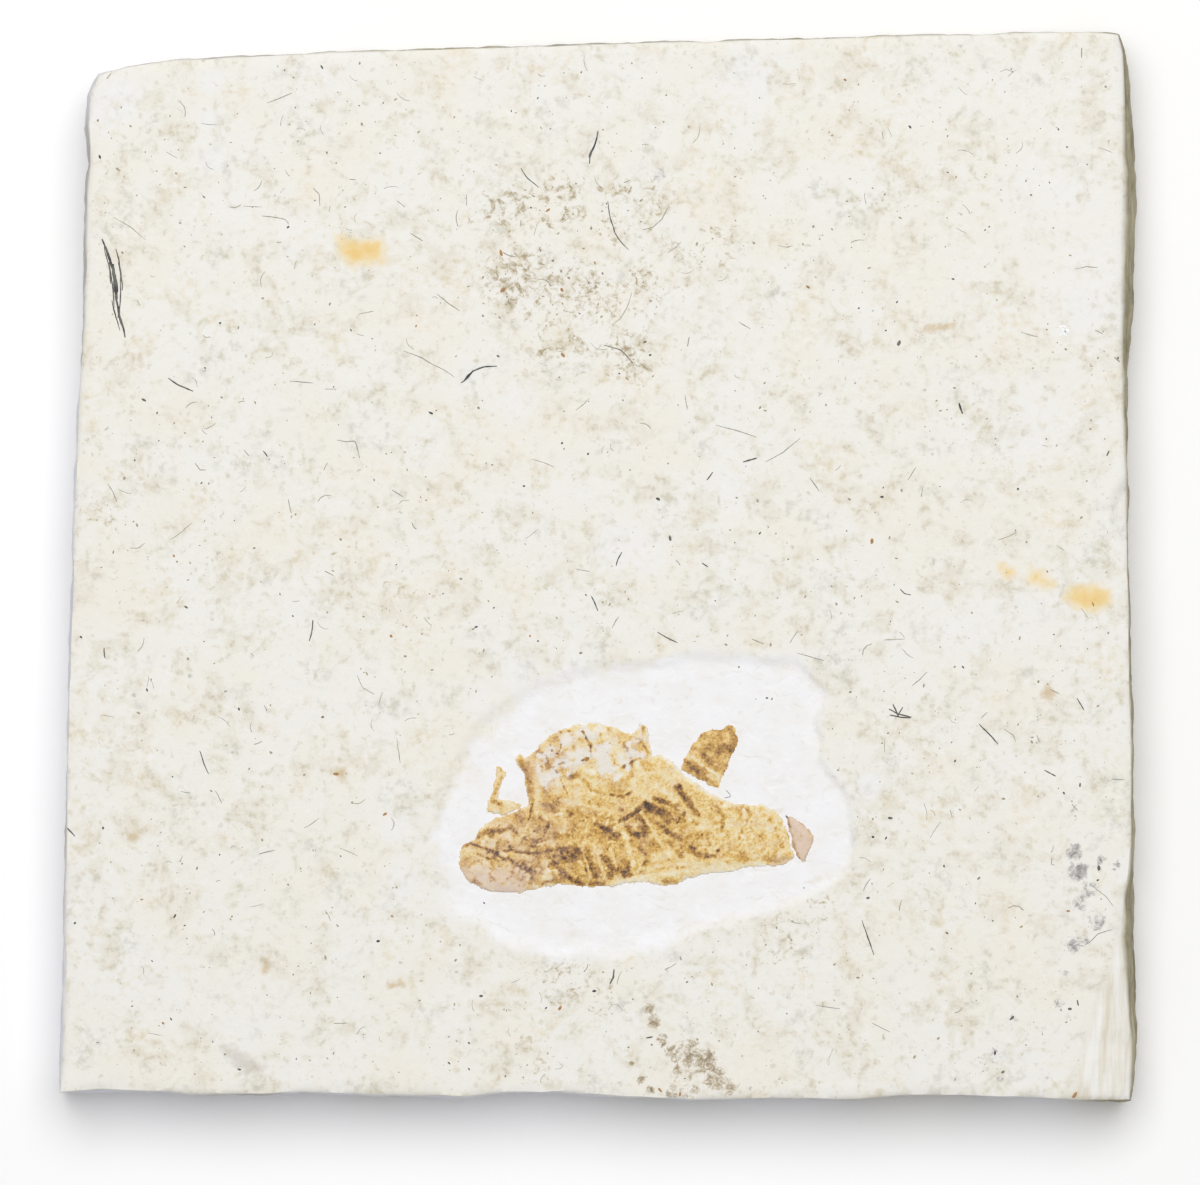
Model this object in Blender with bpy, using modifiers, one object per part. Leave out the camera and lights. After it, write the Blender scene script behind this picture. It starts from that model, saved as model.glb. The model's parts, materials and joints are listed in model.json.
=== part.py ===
"""Fossil insect slab: a sawn tile of pale limestone, lying face up, with the flattened remains of an
insect set in a shallow hollow that was scraped round them.

Sizes in the outlines and in the driving dimensions are in millimetres, and MM turns them to metres.
+Z is up, out of the fossil's face. +X runs from the insect's head to its tail, and +Y is the slab's
upper edge. The origin lies under the middle of the slab, on the surface that it rests on.
"""

import math

import bmesh
import bpy
from mathutils import Vector

MM = 0.001

# Driving dimensions
SLAB_THICKNESS = 10.0
HOLLOW_DEPTH = 0.4  # how far the scraped floor lies under the slab's face
POCKET_DEPTH = 1.2  # how far the insect's bed lies under the slab's face
REMAINS_THICKNESS = 0.8  # of the flattened insect
REMAINS_ARRIS = 0.12  # rounding of the insect's upper rim
CLEARANCE = 0.3  # between the insect's pieces and the stone

# The slab's side, level by level: height above the base as a share of the thickness, the share of
# the lean that is reached there, and a worn arris drawn in at the foot.
SIDE_LEVELS = ((1.0, 0.0, 0.0), (0.9, 0.5, 0.0), (0.45, 1.0, 0.0), (0.07, 0.9, 0.0), (0.0, 0.9, 0.4))

# The face's outline, anticlockwise from the lower left corner: x, y, and how far the broken side
# below that point leans out.
LOWER_EDGE = (
    (-53.6, -52.45, 0.35), (-50.0, -52.3, 0.2), (-40.0, -52.7, 0.2), (-34.0, -52.8, 0.2),
    (-30.0, -52.6, 0.2), (-20.0, -52.85, 0.2), (-13.8, -53.05, 0.2), (-10.0, -52.65, 0.2),
    (-4.0, -52.6, 0.2), (2.0, -53.0, 0.2), (9.0, -53.3, 0.2), (18.0, -53.2, 0.2),
    (26.0, -53.3, 0.2), (30.0, -52.9, 0.2), (36.0, -52.9, 0.2), (44.0, -53.2, 0.2),
    (48.0, -53.4, 0.2),
)
RIGHT_EDGE = (
    (52.9, -53.3, 0.4), (53.1, -47.4, 1.0), (52.7, -43.4, 1.1), (52.3, -39.4, 1.4),
    (52.1, -37.0, 1.6), (52.3, -33.0, 1.4), (52.8, -31.0, 0.9), (53.1, -28.0, 0.6),
    (53.1, -17.4, 0.5), (52.9, -11.4, 0.5), (52.8, -3.4, 0.4), (52.6, 6.6, 0.5),
    (52.3, 13.0, 0.7), (52.1, 20.0, 0.9), (52.1, 23.5, 1.2), (52.1, 26.5, 1.7),
    (52.2, 36.6, 1.7), (52.25, 43.0, 1.5), (52.3, 47.0, 1.1), (52.2, 51.4, 0.7),
)
UPPER_EDGE = (
    (51.6, 53.2, 0.3), (49.0, 53.4, 0.3), (37.0, 53.15, 0.3), (21.0, 52.7, 0.25),
    (5.0, 52.3, 0.25), (-11.0, 51.8, 0.25), (-27.0, 51.3, 0.25), (-39.0, 50.7, 0.25),
    (-43.0, 50.5, 0.25), (-47.0, 49.95, 0.25), (-49.2, 49.4, 0.3),
)
LEFT_EDGE = (
    (-50.3, 48.8, 0.3), (-50.9, 47.2, 0.6), (-51.1, 44.0, 0.7), (-50.9, 40.0, 0.4),
    (-51.2, 37.0, 0.6), (-51.3, 30.0, 0.6), (-51.5, 24.0, 0.4), (-51.9, 19.0, 0.3),
    (-52.3, 11.0, 0.3), (-52.6, 1.0, 0.3), (-53.0, -10.0, 0.3), (-53.3, -22.0, 0.3),
    (-53.3, -29.0, 0.5), (-53.4, -38.0, 0.6), (-53.5, -46.0, 0.6),
)

# The hollow that was scraped round the insect, anticlockwise from its lower left.
HOLLOW = (
    (-14.5, -34.0), (-12.6, -36.2), (-9.5, -38.5), (-4.0, -39.4), (1.5, -39.8), (6.5, -38.9),
    (13.0, -36.9), (20.0, -34.6), (23.5, -32.4), (25.3, -29.6), (25.3, -25.2), (23.6, -21.6),
    (22.0, -17.8), (22.5, -13.4), (21.2, -10.6), (17.0, -8.4), (10.0, -8.2), (1.0, -9.5),
    (-7.5, -11.8), (-13.0, -15.0), (-15.2, -19.6), (-17.2, -24.6), (-16.6, -30.0),
)

# The insect lies on its back in side view, its head at the left and its legs drawn up.
INSECT_BODY = (
    (-14.2, -29.0), (-13.9, -30.2), (-12.9, -31.3), (-10.8, -32.3), (-8.0, -32.6), (-5.0, -32.0),
    (0.0, -32.1), (5.5, -31.5), (12.2, -30.8), (16.0, -30.2), (17.8, -30.4), (19.6, -29.6),
    (18.9, -28.2), (18.4, -26.7), (18.2, -25.2), (16.3, -23.9), (14.8, -24.1), (11.5, -23.3),
    (10.0, -22.9), (8.7, -21.7), (7.6, -20.5), (6.8, -19.4), (5.5, -19.1), (4.9, -17.8),
    (4.9, -16.1), (4.0, -15.9), (2.9, -17.6), (0.6, -16.7), (-2.0, -16.4), (-4.2, -16.4),
    (-6.0, -17.6), (-6.4, -19.1), (-8.2, -18.6), (-8.6, -19.4), (-7.3, -22.2), (-7.0, -23.6),
    (-8.4, -24.8), (-11.6, -25.9), (-12.6, -27.2), (-13.6, -27.7),
)
INSECT_HIND_LEG = (
    (8.5, -19.9), (9.5, -21.0), (10.8, -22.0), (11.9, -22.4), (12.6, -20.2), (13.8, -17.6),
    (13.6, -16.6), (12.6, -15.8), (11.2, -16.0), (9.4, -17.3), (8.5, -18.7),
)
INSECT_TAIL_TIP = (
    (18.7, -25.0), (18.8, -26.7), (19.3, -28.1), (20.0, -29.5), (20.7, -29.3), (21.2, -28.4),
    (21.4, -27.2), (21.0, -26.2), (20.0, -25.2),
)
INSECT_FRONT_LEG = (
    (-10.4, -20.0), (-10.4, -21.2), (-10.9, -22.4), (-11.3, -23.4), (-11.1, -24.2), (-10.6, -24.6),
    (-9.4, -24.4), (-8.3, -23.9), (-7.9, -23.2), (-9.0, -23.2), (-10.2, -23.1), (-10.0, -22.0),
    (-9.5, -20.9), (-9.7, -20.1),
)

# A shell-shaped chip in the right edge, cut by a ball, and a long broken bevel at the lower right
# corner, cut by a tilted block whose lower face is the bevel.
CHIP_CENTRE = (56.7, 5.3, 10.4)
CHIP_RADIUS = 5.4
BEVEL_FOOT = (49.3, -44.8, 10.0)  # a point where the bevel leaves the face
BEVEL_HEADING = 18.5  # degrees that the bevel's upper edge leans from +Y
BEVEL_SLOPE = 13.0  # degrees that it falls towards the corner
BEVEL_BLOCK = (24.0, 60.0, 12.0)

CHALK_WHITE = (0.84, 0.82, 0.76, 1.0)
AMBER_BROWN = (0.62, 0.40, 0.16, 1.0)
ROSE_BROWN = (0.70, 0.49, 0.38, 1.0)


def clear_scene():
    for thing in list(bpy.data.objects):
        bpy.data.objects.remove(thing, do_unlink=True)


def new_collection(name):
    made = bpy.data.collections.new(name)
    bpy.context.scene.collection.children.link(made)
    return made


def new_material(name, colour, roughness):
    material = bpy.data.materials.new(name)
    material.use_nodes = True
    shader = material.node_tree.nodes["Principled BSDF"]
    shader.inputs["Base Color"].default_value = colour
    shader.inputs["Roughness"].default_value = roughness
    shader.inputs["Metallic"].default_value = 0.0
    return material


def outward(points, index):
    """The outline's outward direction at one of its points, for an anticlockwise outline. Its length
    makes up for the corner, so that a shift along it moves both edges by the same amount."""
    before = Vector(points[index - 1][:2])
    here = Vector(points[index][:2])
    after = Vector(points[(index + 1) % len(points)][:2])
    first = (here - before).normalized()
    second = (after - here).normalized()
    normals = [Vector((edge.y, -edge.x)) for edge in (first, second)]
    middle = (normals[0] + normals[1]).normalized()
    return middle / max(0.6, middle.dot(normals[0]))


def grown(outline, distance):
    """The outline moved outwards all round."""
    return [
        tuple(Vector(point[:2]) + outward(outline, index) * distance)
        for index, point in enumerate(outline)
    ]


def mesh_object(name, mesh, collection):
    made = bpy.data.objects.new(name, mesh)
    collection.objects.link(made)
    return made


def lofted(name, rings, collection):
    """A closed solid through rings of points that all have the same count, lowest ring first."""
    shape = bmesh.new()
    levels = [[shape.verts.new(Vector(point) * MM) for point in ring] for ring in rings]
    count = len(levels[0])
    for lower, upper in zip(levels, levels[1:]):
        for i in range(count):
            j = (i + 1) % count
            shape.faces.new((lower[i], lower[j], upper[j], upper[i]))
    shape.faces.new(reversed(levels[0]))
    shape.faces.new(levels[-1])
    mesh = bpy.data.meshes.new(name)
    shape.to_mesh(mesh)
    shape.free()
    return mesh_object(name, mesh, collection)


def plate(name, outline, low, high, collection):
    """A flat plate of this outline between two heights."""
    rings = [[(x, y, height) for x, y in outline] for height in (low, high)]
    return lofted(name, rings, collection)


def cut(target, cutter):
    """Takes the cutter's shape out of the target."""
    cutter.hide_render = True
    cutter.display_type = "WIRE"
    modifier = target.modifiers.new(cutter.name, "BOOLEAN")
    modifier.operation = "DIFFERENCE"
    modifier.solver = "EXACT"
    modifier.object = cutter


def ball_cutter(name, centre, radius, collection):
    shape = bmesh.new()
    bmesh.ops.create_uvsphere(shape, u_segments=32, v_segments=16, radius=radius * MM)
    mesh = bpy.data.meshes.new(name)
    shape.to_mesh(mesh)
    shape.free()
    ball = mesh_object(name, mesh, collection)
    ball.location = Vector(centre) * MM
    return ball


def bevel_cutter(name, collection):
    """A block that stands on the broken bevel. Its near lower edge is the line where the bevel
    leaves the face."""
    shape = bmesh.new()
    bmesh.ops.create_cube(shape, size=1.0)
    width, length, height = (side * MM for side in BEVEL_BLOCK)
    for vertex in shape.verts:
        x, y, z = vertex.co
        vertex.co = ((x + 0.5) * width, y * length, (z + 0.5) * height)
    mesh = bpy.data.meshes.new(name)
    shape.to_mesh(mesh)
    shape.free()
    block = mesh_object(name, mesh, collection)
    block.location = Vector(BEVEL_FOOT) * MM
    block.rotation_euler = (0.0, math.radians(BEVEL_SLOPE), math.radians(-BEVEL_HEADING))
    return block


def slab_rings(outline):
    """The slab's rings, from the base up to the face."""
    rings = []
    for share, lean, drawn_in in reversed(SIDE_LEVELS):
        ring = []
        for index, (x, y, widest_lean) in enumerate(outline):
            shift = outward(outline, index) * (widest_lean * lean - drawn_in)
            ring.append((x + shift.x, y + shift.y, share * SLAB_THICKNESS))
        rings.append(ring)
    return rings


def build_slab(pieces, parts, cutters):
    outline = LOWER_EDGE + RIGHT_EDGE + UPPER_EDGE + LEFT_EDGE
    slab = lofted("limestone_slab", slab_rings(outline), parts)
    above = SLAB_THICKNESS + 2.0
    floor = SLAB_THICKNESS - HOLLOW_DEPTH
    bed = SLAB_THICKNESS - POCKET_DEPTH
    cut(slab, ball_cutter("edge_chip", CHIP_CENTRE, CHIP_RADIUS, cutters))
    cut(slab, bevel_cutter("corner_bevel", cutters))
    cut(slab, plate("scraped_hollow", HOLLOW, floor, above, cutters))
    for name, outline in pieces.items():
        cut(slab, plate(name + "_pocket", grown(outline, CLEARANCE), bed, above, cutters))
    slab.data.materials.append(new_material("pale_limestone", CHALK_WHITE, 0.85))
    return slab


def build_remains(name, outline, material, parts):
    """One piece of the insect: a thin plate that lies in its pocket, proud of the scraped floor."""
    low = SLAB_THICKNESS - POCKET_DEPTH + CLEARANCE
    piece = plate(name, outline, low, low + REMAINS_THICKNESS, parts)
    rim = piece.modifiers.new("rounded_rim", "BEVEL")
    rim.width = REMAINS_ARRIS * MM
    rim.segments = 1
    rim.limit_method = "ANGLE"
    rim.angle_limit = math.radians(60)
    piece.data.materials.append(material)
    return piece


def main():
    clear_scene()
    parts = new_collection("fossil_insect_slab")
    cutters = new_collection("cutters")
    amber = new_material("iron_stained_cuticle", AMBER_BROWN, 0.7)
    rose = new_material("rose_cuticle", ROSE_BROWN, 0.7)
    pieces = {
        "insect_body": INSECT_BODY,
        "insect_hind_leg": INSECT_HIND_LEG,
        "insect_tail_tip": INSECT_TAIL_TIP,
        "insect_front_leg": INSECT_FRONT_LEG,
    }
    build_slab(pieces, parts, cutters)
    for name, outline in pieces.items():
        material = rose if name == "insect_tail_tip" else amber
        build_remains(name, outline, material, parts)


main()
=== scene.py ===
"""Looks of the fossil insect slab: a sawn tile of pale laminated limestone that lies face up, with an
amber-coloured insect, pressed flat, in a white hollow that was scraped round it.

The drawing sheet: places on the face are given as (across, down) in tenths of a millimetre, with
SHEET_MIDDLE over the slab's middle. Everything else is in millimetres until MM turns it to metres.
"""
import json
import math
import random

import bpy
import numpy as np
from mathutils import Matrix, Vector

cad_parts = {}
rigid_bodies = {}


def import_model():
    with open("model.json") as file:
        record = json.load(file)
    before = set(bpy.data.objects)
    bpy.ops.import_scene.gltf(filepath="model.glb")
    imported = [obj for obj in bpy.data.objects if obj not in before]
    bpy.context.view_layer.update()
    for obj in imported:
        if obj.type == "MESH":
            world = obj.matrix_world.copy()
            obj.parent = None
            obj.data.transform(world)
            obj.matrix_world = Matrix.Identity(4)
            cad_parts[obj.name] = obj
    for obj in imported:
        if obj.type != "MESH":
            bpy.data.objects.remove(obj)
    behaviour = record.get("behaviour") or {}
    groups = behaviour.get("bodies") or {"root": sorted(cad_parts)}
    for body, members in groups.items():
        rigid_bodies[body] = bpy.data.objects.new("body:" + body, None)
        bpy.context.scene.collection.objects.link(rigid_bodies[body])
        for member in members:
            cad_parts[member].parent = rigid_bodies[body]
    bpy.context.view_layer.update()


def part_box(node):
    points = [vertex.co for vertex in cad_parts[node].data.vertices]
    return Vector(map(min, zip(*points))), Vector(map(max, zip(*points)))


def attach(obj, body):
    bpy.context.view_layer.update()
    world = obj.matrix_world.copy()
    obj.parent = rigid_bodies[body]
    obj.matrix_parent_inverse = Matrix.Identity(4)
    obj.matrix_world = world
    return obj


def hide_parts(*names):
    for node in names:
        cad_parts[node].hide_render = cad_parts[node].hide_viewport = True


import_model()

MM = 0.001
SHEET_UNIT = 0.1  # millimetres
SHEET_MIDDLE = (600.0, 566.0)
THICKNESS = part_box("limestone_slab")[1].z / MM

# The face's outline, as in the solid: x, y and how far the broken side below leans out.
LOWER_EDGE = (
    (-53.95, -52.6, 0.3), (-50.0, -52.3, 0.2), (-40.0, -52.7, 0.2), (-34.0, -52.8, 0.2),
    (-30.0, -52.6, 0.2), (-20.0, -52.85, 0.2), (-13.8, -53.05, 0.2), (-10.0, -52.65, 0.2),
    (-4.0, -52.6, 0.2), (2.0, -53.0, 0.2), (9.0, -53.3, 0.2), (18.0, -53.2, 0.2),
    (26.0, -53.3, 0.2), (30.0, -52.9, 0.2), (36.0, -52.9, 0.2), (44.0, -53.2, 0.2),
    (48.0, -53.4, 0.2), (53.0, -53.4, 0.4),
)
RIGHT_EDGE = (
    (53.0, -53.4, 0.4), (53.1, -47.4, 1.0), (52.7, -43.4, 1.1), (52.3, -39.4, 1.4),
    (52.1, -37.0, 1.6), (52.3, -33.0, 1.4), (52.8, -31.0, 0.9), (53.1, -28.0, 0.6),
    (53.1, -17.4, 0.5), (52.9, -11.4, 0.5), (52.8, -3.4, 0.4), (52.6, 6.6, 0.5),
    (52.3, 13.0, 0.7), (52.1, 20.0, 0.9), (52.1, 23.5, 1.2), (52.1, 26.5, 1.7),
    (52.2, 36.6, 1.7), (52.25, 43.0, 1.5), (52.3, 47.0, 1.1), (52.2, 51.4, 0.7), (51.8, 53.1, 0.3),
)
UPPER_EDGE = (
    (-50.1, 49.1, 0.4), (-49.2, 49.4, 0.3), (-47.0, 49.95, 0.25), (-43.0, 50.5, 0.25),
    (-39.0, 50.7, 0.25), (-27.0, 51.3, 0.25), (-11.0, 51.8, 0.25), (5.0, 52.3, 0.25),
    (21.0, 52.7, 0.25), (37.0, 53.15, 0.3), (49.0, 53.4, 0.3), (51.8, 53.1, 0.3),
)
LEFT_EDGE = (
    (-53.95, -52.6, 0.5), (-53.5, -46.0, 0.6), (-53.4, -38.0, 0.6), (-53.3, -29.0, 0.5),
    (-53.3, -22.0, 0.3), (-53.0, -10.0, 0.3), (-52.6, 1.0, 0.3), (-52.3, 11.0, 0.3),
    (-51.9, 19.0, 0.3), (-51.5, 24.0, 0.4), (-51.3, 30.0, 0.6), (-51.2, 37.0, 0.6),
    (-50.9, 40.0, 0.4), (-51.1, 44.0, 0.7), (-50.9, 47.2, 0.6), (-50.1, 49.1, 0.4),
)
# Rings of the side: depth under the face, and the share of the lean that is reached there.
SIDE_RINGS = (
    (0.25, 0.15), (0.6, 0.35), (1.1, 0.5), (1.8, 0.62), (2.6, 0.75), (3.5, 0.85), (4.5, 0.95),
    (5.5, 1.0), (6.5, 1.0), (7.5, 0.95), (8.5, 0.92), (9.3, 0.9), (9.75, 0.7), (10.0, 0.3),
)
SIDE_FOOT = 0.35  # the worn foot is drawn in by this much

# Places on the drawing sheet
HALO = (
    (430, 880), (432, 850), (430, 820), (440, 790), (460, 740), (480, 715), (520, 690), (550, 675),
    (600, 660), (650, 655), (700, 650), (740, 648), (790, 655), (815, 680), (826, 692), (819, 720),
    (821, 760), (838, 782), (851, 800), (856, 835), (852, 862), (835, 884), (800, 900), (765, 917),
    (740, 925), (700, 935), (660, 950), (640, 958), (610, 962), (590, 955), (550, 960), (520, 950),
    (490, 935), (455, 920), (438, 900),
)
INSECT_BODY = (
    (458, 852), (459, 868), (467, 882), (488, 892), (520, 893), (545, 888), (560, 885), (590, 888),
    (610, 886), (640, 882), (665, 886), (678, 883), (700, 876), (730, 872), (745, 868), (757, 866),
    (775, 868), (793, 862), (795, 857), (790, 845), (787, 832), (784, 818), (775, 811), (762, 803),
    (748, 805), (735, 803), (722, 799), (708, 790), (695, 781), (683, 772), (672, 762), (662, 754),
    (653, 757), (650, 745), (648, 727), (641, 722), (632, 735), (618, 729), (600, 722), (580, 724),
    (562, 728), (546, 737), (536, 748), (527, 757), (519, 753), (515, 760), (522, 775), (526, 790),
    (527, 804), (515, 811), (500, 817), (487, 822), (480, 829), (473, 840), (463, 845),
)
HIND_LEG = (
    (683, 770), (684, 756), (692, 743), (700, 735), (712, 730), (723, 729), (729, 724), (736, 728),
    (739, 738), (737, 748), (731, 758), (727, 768), (723, 779), (719, 789), (708, 785), (695, 777),
)
TAIL_TIP = (
    (787, 815), (793, 816), (801, 822), (809, 828), (814, 836), (812, 846), (808, 855), (803, 863),
    (798, 860), (795, 852), (791, 840), (788, 828),
)
FRONT_LEG = (
    (497, 766), (503, 766), (506, 776), (501, 787), (498, 798), (508, 800), (522, 803), (521, 810),
    (508, 814), (494, 815), (487, 812), (489, 802), (492, 790), (496, 778),
)
YELLOW_STAINS = (
    ((336, 235), (358, 240), (383, 238), (384, 264), (371, 262), (357, 267), (345, 262), (338, 250)),
    ((1068, 588), (1092, 585), (1110, 588), (1112, 602), (1098, 612), (1080, 610), (1066, 602)),
    ((998, 564), (1012, 568), (1016, 576), (1004, 578)),
    ((1030, 568), (1044, 574), (1056, 584), (1048, 590), (1030, 582)),
)
TAN_MARKS = (
    ((921, 334), (923, 326), (933, 324), (956, 322), (957, 325), (941, 332)),
    ((1040, 690), (1050, 682), (1058, 694), (1052, 702), (1042, 698)),
    ((334, 770), (342, 766), (348, 774), (342, 782), (336, 778)),
    ((128, 834), (138, 830), (138, 840), (130, 844)),
    ((388, 982), (402, 978), (402, 988), (390, 988)),
    ((262, 962), (272, 954), (270, 970), (262, 976)),
)
PLANT_SMEAR = ((212, 1040), (235, 1046), (266, 1066), (264, 1074), (246, 1074), (224, 1056))


def on_face(points):
    """Sheet places as an array of x and y in millimetres."""
    spots = np.array(points, float)
    return (spots - SHEET_MIDDLE) * (SHEET_UNIT, -SHEET_UNIT)


# Numbers and fields

def hashed(column, row, seed):
    """A repeatable number from 0 to 1 for each point of a lattice."""
    mixed = (column * 374761393 + row * 668265263 + seed * 1442695041) & 0xFFFFFFFF
    mixed = ((mixed ^ (mixed >> 13)) * 1274126177) & 0xFFFFFFFF
    return ((mixed ^ (mixed >> 16)) & 0xFFFFFFFF) / 4294967295.0


def ripple(x, y, size, seed):
    """Smooth noise from -1 to 1, with bumps about as wide as size."""
    across = x / size
    along = y / size
    column = np.floor(across).astype(np.int64)
    row = np.floor(along).astype(np.int64)
    s = across - column
    t = along - row
    s = s * s * (3 - 2 * s)
    t = t * t * (3 - 2 * t)
    low = hashed(column, row, seed) * (1 - s) + hashed(column + 1, row, seed) * s
    high = hashed(column, row + 1, seed) * (1 - s) + hashed(column + 1, row + 1, seed) * s
    return (low * (1 - t) + high * t) * 2 - 1


def step(value, start, end):
    """0 up to start and 1 from end on, with a smooth rise between them."""
    share = np.clip((value - start) / (end - start), 0, 1)
    return share * share * (3 - 2 * share)


def line_distance(x, y, points, closed=False):
    """Distance of each place to a line through the points, in millimetres."""
    ends = list(points) + ([points[0]] if closed else [])
    best = np.full(np.shape(x), 1e9)
    for (ax, ay), (bx, by) in zip(ends, ends[1:]):
        dx = bx - ax
        dy = by - ay
        share = np.clip(((x - ax) * dx + (y - ay) * dy) / max(dx * dx + dy * dy, 1e-12), 0, 1)
        best = np.minimum(best, np.hypot(x - ax - share * dx, y - ay - share * dy))
    if len(ends) == 1:
        best = np.hypot(x - ends[0][0], y - ends[0][1])
    return best


def depth_inside(x, y, outline):
    """How far each place lies inside an outline; negative outside it."""
    inside = np.zeros(np.shape(x), bool)
    for (ax, ay), (bx, by) in zip(outline, np.roll(outline, -1, 0)):
        crosses = (ay > y) != (by > y)
        rise = by - ay if by != ay else 1e-9
        inside ^= crosses & (x < (bx - ax) * (y - ay) / rise + ax)
    distance = line_distance(x, y, list(outline), closed=True)
    return np.where(inside, distance, -distance)


# Shape of the face

HALO_MM = on_face(HALO)
HALO_DEPTH = 0.34
SCOOP_TIP = on_face([(1121, 934)])[0]
SCOOP_FOOT = on_face([(1068, 1092)])[0]
SCOOP_SLOPE = 0.23
CHIP = on_face([(1135, 513)])[0]
PIT = on_face([(240, 1069)])[0]


def scoop_depth(x, y):
    """How deep the flaked bevel at the lower right corner lies under the face."""
    run = SCOOP_FOOT - SCOOP_TIP
    length = np.hypot(*run)
    beyond = ((x - SCOOP_TIP[0]) * -run[1] + (y - SCOOP_TIP[1]) * run[0]) / length
    beyond = beyond + 0.25 * ripple(x, y, 1.6, 31) + 0.12 * ripple(x, y, 0.6, 32)
    flakes = 0.16 * np.floor(beyond / 1.35 + 0.3 * ripple(x, y, 7, 33))
    return np.where(beyond > 0, 0.12 + SCOOP_SLOPE * beyond * 0.6 + np.maximum(flakes, 0), 0.0)


def face_height(x, y):
    """Height of the face over its flat level, in millimetres, before its rim is worn."""
    height = 0.05 * ripple(x, y, 26, 1) + 0.03 * ripple(x, y, 9, 2)
    plaster = 0.022 * ripple(x, y, 2.3, 3) + 0.02 * ripple(x, y, 1.15, 4) + 0.014 * ripple(x, y, 0.75, 5)
    halo = depth_inside(x, y, HALO_MM) + 0.35 * ripple(x, y, 2.2, 6) + 0.12 * ripple(x, y, 0.8, 7)
    right = step(x, 17, 21)
    scraped = step(halo, -0.1, 1.6 - 1.2 * right)
    strokes = 0.02 * ripple(x * 0.35 + y, y * 0.3 - x * 0.3, 0.6, 8)
    height = height + plaster * (1 - 0.5 * scraped) + scraped * (strokes - HALO_DEPTH)
    height = height - scoop_depth(x, y)
    shell = np.hypot(x - CHIP[0], (y - CHIP[1]) * 0.62)
    height = height - np.clip(2.35 - shell, 0, 0.55) * 1.3
    pit = np.hypot((x - PIT[0]) / 0.45, (y - PIT[1] + 0.35 * (x - PIT[0])) / 0.26)
    return height - 0.3 * step(1.25 - pit, 0, 0.6)


# Mesh helpers

def only(thing):
    """Leaves nothing selected but this object, which becomes the active one."""
    if bpy.context.mode != "OBJECT":
        bpy.ops.object.mode_set(mode="OBJECT")
    bpy.ops.object.select_all(action="DESELECT")
    thing.select_set(True)
    bpy.context.view_layer.objects.active = thing


def places_of(thing):
    found = np.empty(len(thing.data.vertices) * 3)
    thing.data.vertices.foreach_get("co", found)
    return found.reshape(-1, 3) / MM


def set_places(thing, places):
    thing.data.vertices.foreach_set("co", (places * MM).ravel())
    thing.data.update()


def set_attribute(thing, name, values):
    field = thing.data.attributes.new(name, "FLOAT", "POINT")
    field.data.foreach_set("value", np.ascontiguousarray(values, np.float32))


def grid(name, columns, rows):
    bpy.ops.mesh.primitive_grid_add(x_subdivisions=columns, y_subdivisions=rows, size=2)
    made = bpy.context.object
    made.name = name
    made.data.name = name
    return made


def select_rim(thing):
    """In edit mode, selects the open edge of the sheet, and nothing else."""
    only(thing)
    bpy.ops.object.mode_set(mode="EDIT")
    bpy.ops.mesh.select_mode(type="EDGE")
    bpy.ops.mesh.select_all(action="DESELECT")
    bpy.ops.mesh.select_non_manifold(extend=False)


def drop_rim(depths):
    """Extrudes the selected rim straight down, ring by ring, and closes it below."""
    level = 0.0
    for depth in depths:
        move = {"value": (0, 0, -(depth - level) * MM)}
        bpy.ops.mesh.extrude_region_move(TRANSFORM_OT_translate=move)
        level = depth
    bpy.ops.mesh.edge_face_add()
    bpy.ops.mesh.select_all(action="SELECT")
    bpy.ops.mesh.normals_make_consistent(inside=False)
    bpy.ops.object.mode_set(mode="OBJECT")


# Materials

def hex_colour(code):
    """An sRGB hex colour as linear red, green and blue with full opacity."""
    parts = [int(code[i:i + 2], 16) / 255 for i in (1, 3, 5)]
    linear = [c / 12.92 if c <= 0.04045 else ((c + 0.055) / 1.055) ** 2.4 for c in parts]
    return (*linear, 1.0)


def add(tree, kind, settings=None, inputs=None):
    """Adds a node, sets its settings, and links or sets each of its inputs."""
    node = tree.nodes.new(kind)
    for name, value in (settings or {}).items():
        setattr(node, name, value)
    for name, value in (inputs or {}).items():
        if isinstance(value, bpy.types.NodeSocket):
            tree.links.new(value, node.inputs[name])
        else:
            node.inputs[name].default_value = value
    return node


def new_material(name, roughness, specular=0.3):
    material = bpy.data.materials.new(name)
    material.use_nodes = True
    tree = material.node_tree
    shader = tree.nodes["Principled BSDF"]
    shader.inputs["Roughness"].default_value = roughness
    shader.inputs["Specular IOR Level"].default_value = specular
    shader.inputs["IOR"].default_value = 1.5
    place = add(tree, "ShaderNodeTexCoord")
    in_mm = add(tree, "ShaderNodeMapping", None, {"Vector": place.outputs["Object"], "Scale": (1000,) * 3})
    return material, tree, shader, in_mm.outputs["Vector"]


def noise(tree, vector, size, detail=2.0, roughness=0.5, distortion=0.0):
    """Noise whose patches are about size millimetres wide."""
    made = add(tree, "ShaderNodeTexNoise", None, {
        "Vector": vector, "Scale": 1.0 / size, "Detail": detail, "Roughness": roughness,
        "Distortion": distortion,
    })
    return made.outputs["Fac"]


def window(tree, value, start, end, low=0.0, high=1.0):
    """Maps start..end to low..high, held at both ends."""
    made = add(tree, "ShaderNodeMapRange", {"clamp": True}, {
        "Value": value, "From Min": start, "From Max": end, "To Min": low, "To Max": high,
    })
    return made.outputs["Result"]


def calculate(tree, operation, first, second):
    made = add(tree, "ShaderNodeMath", {"operation": operation}, {0: first, 1: second})
    return made.outputs[0]


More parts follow.
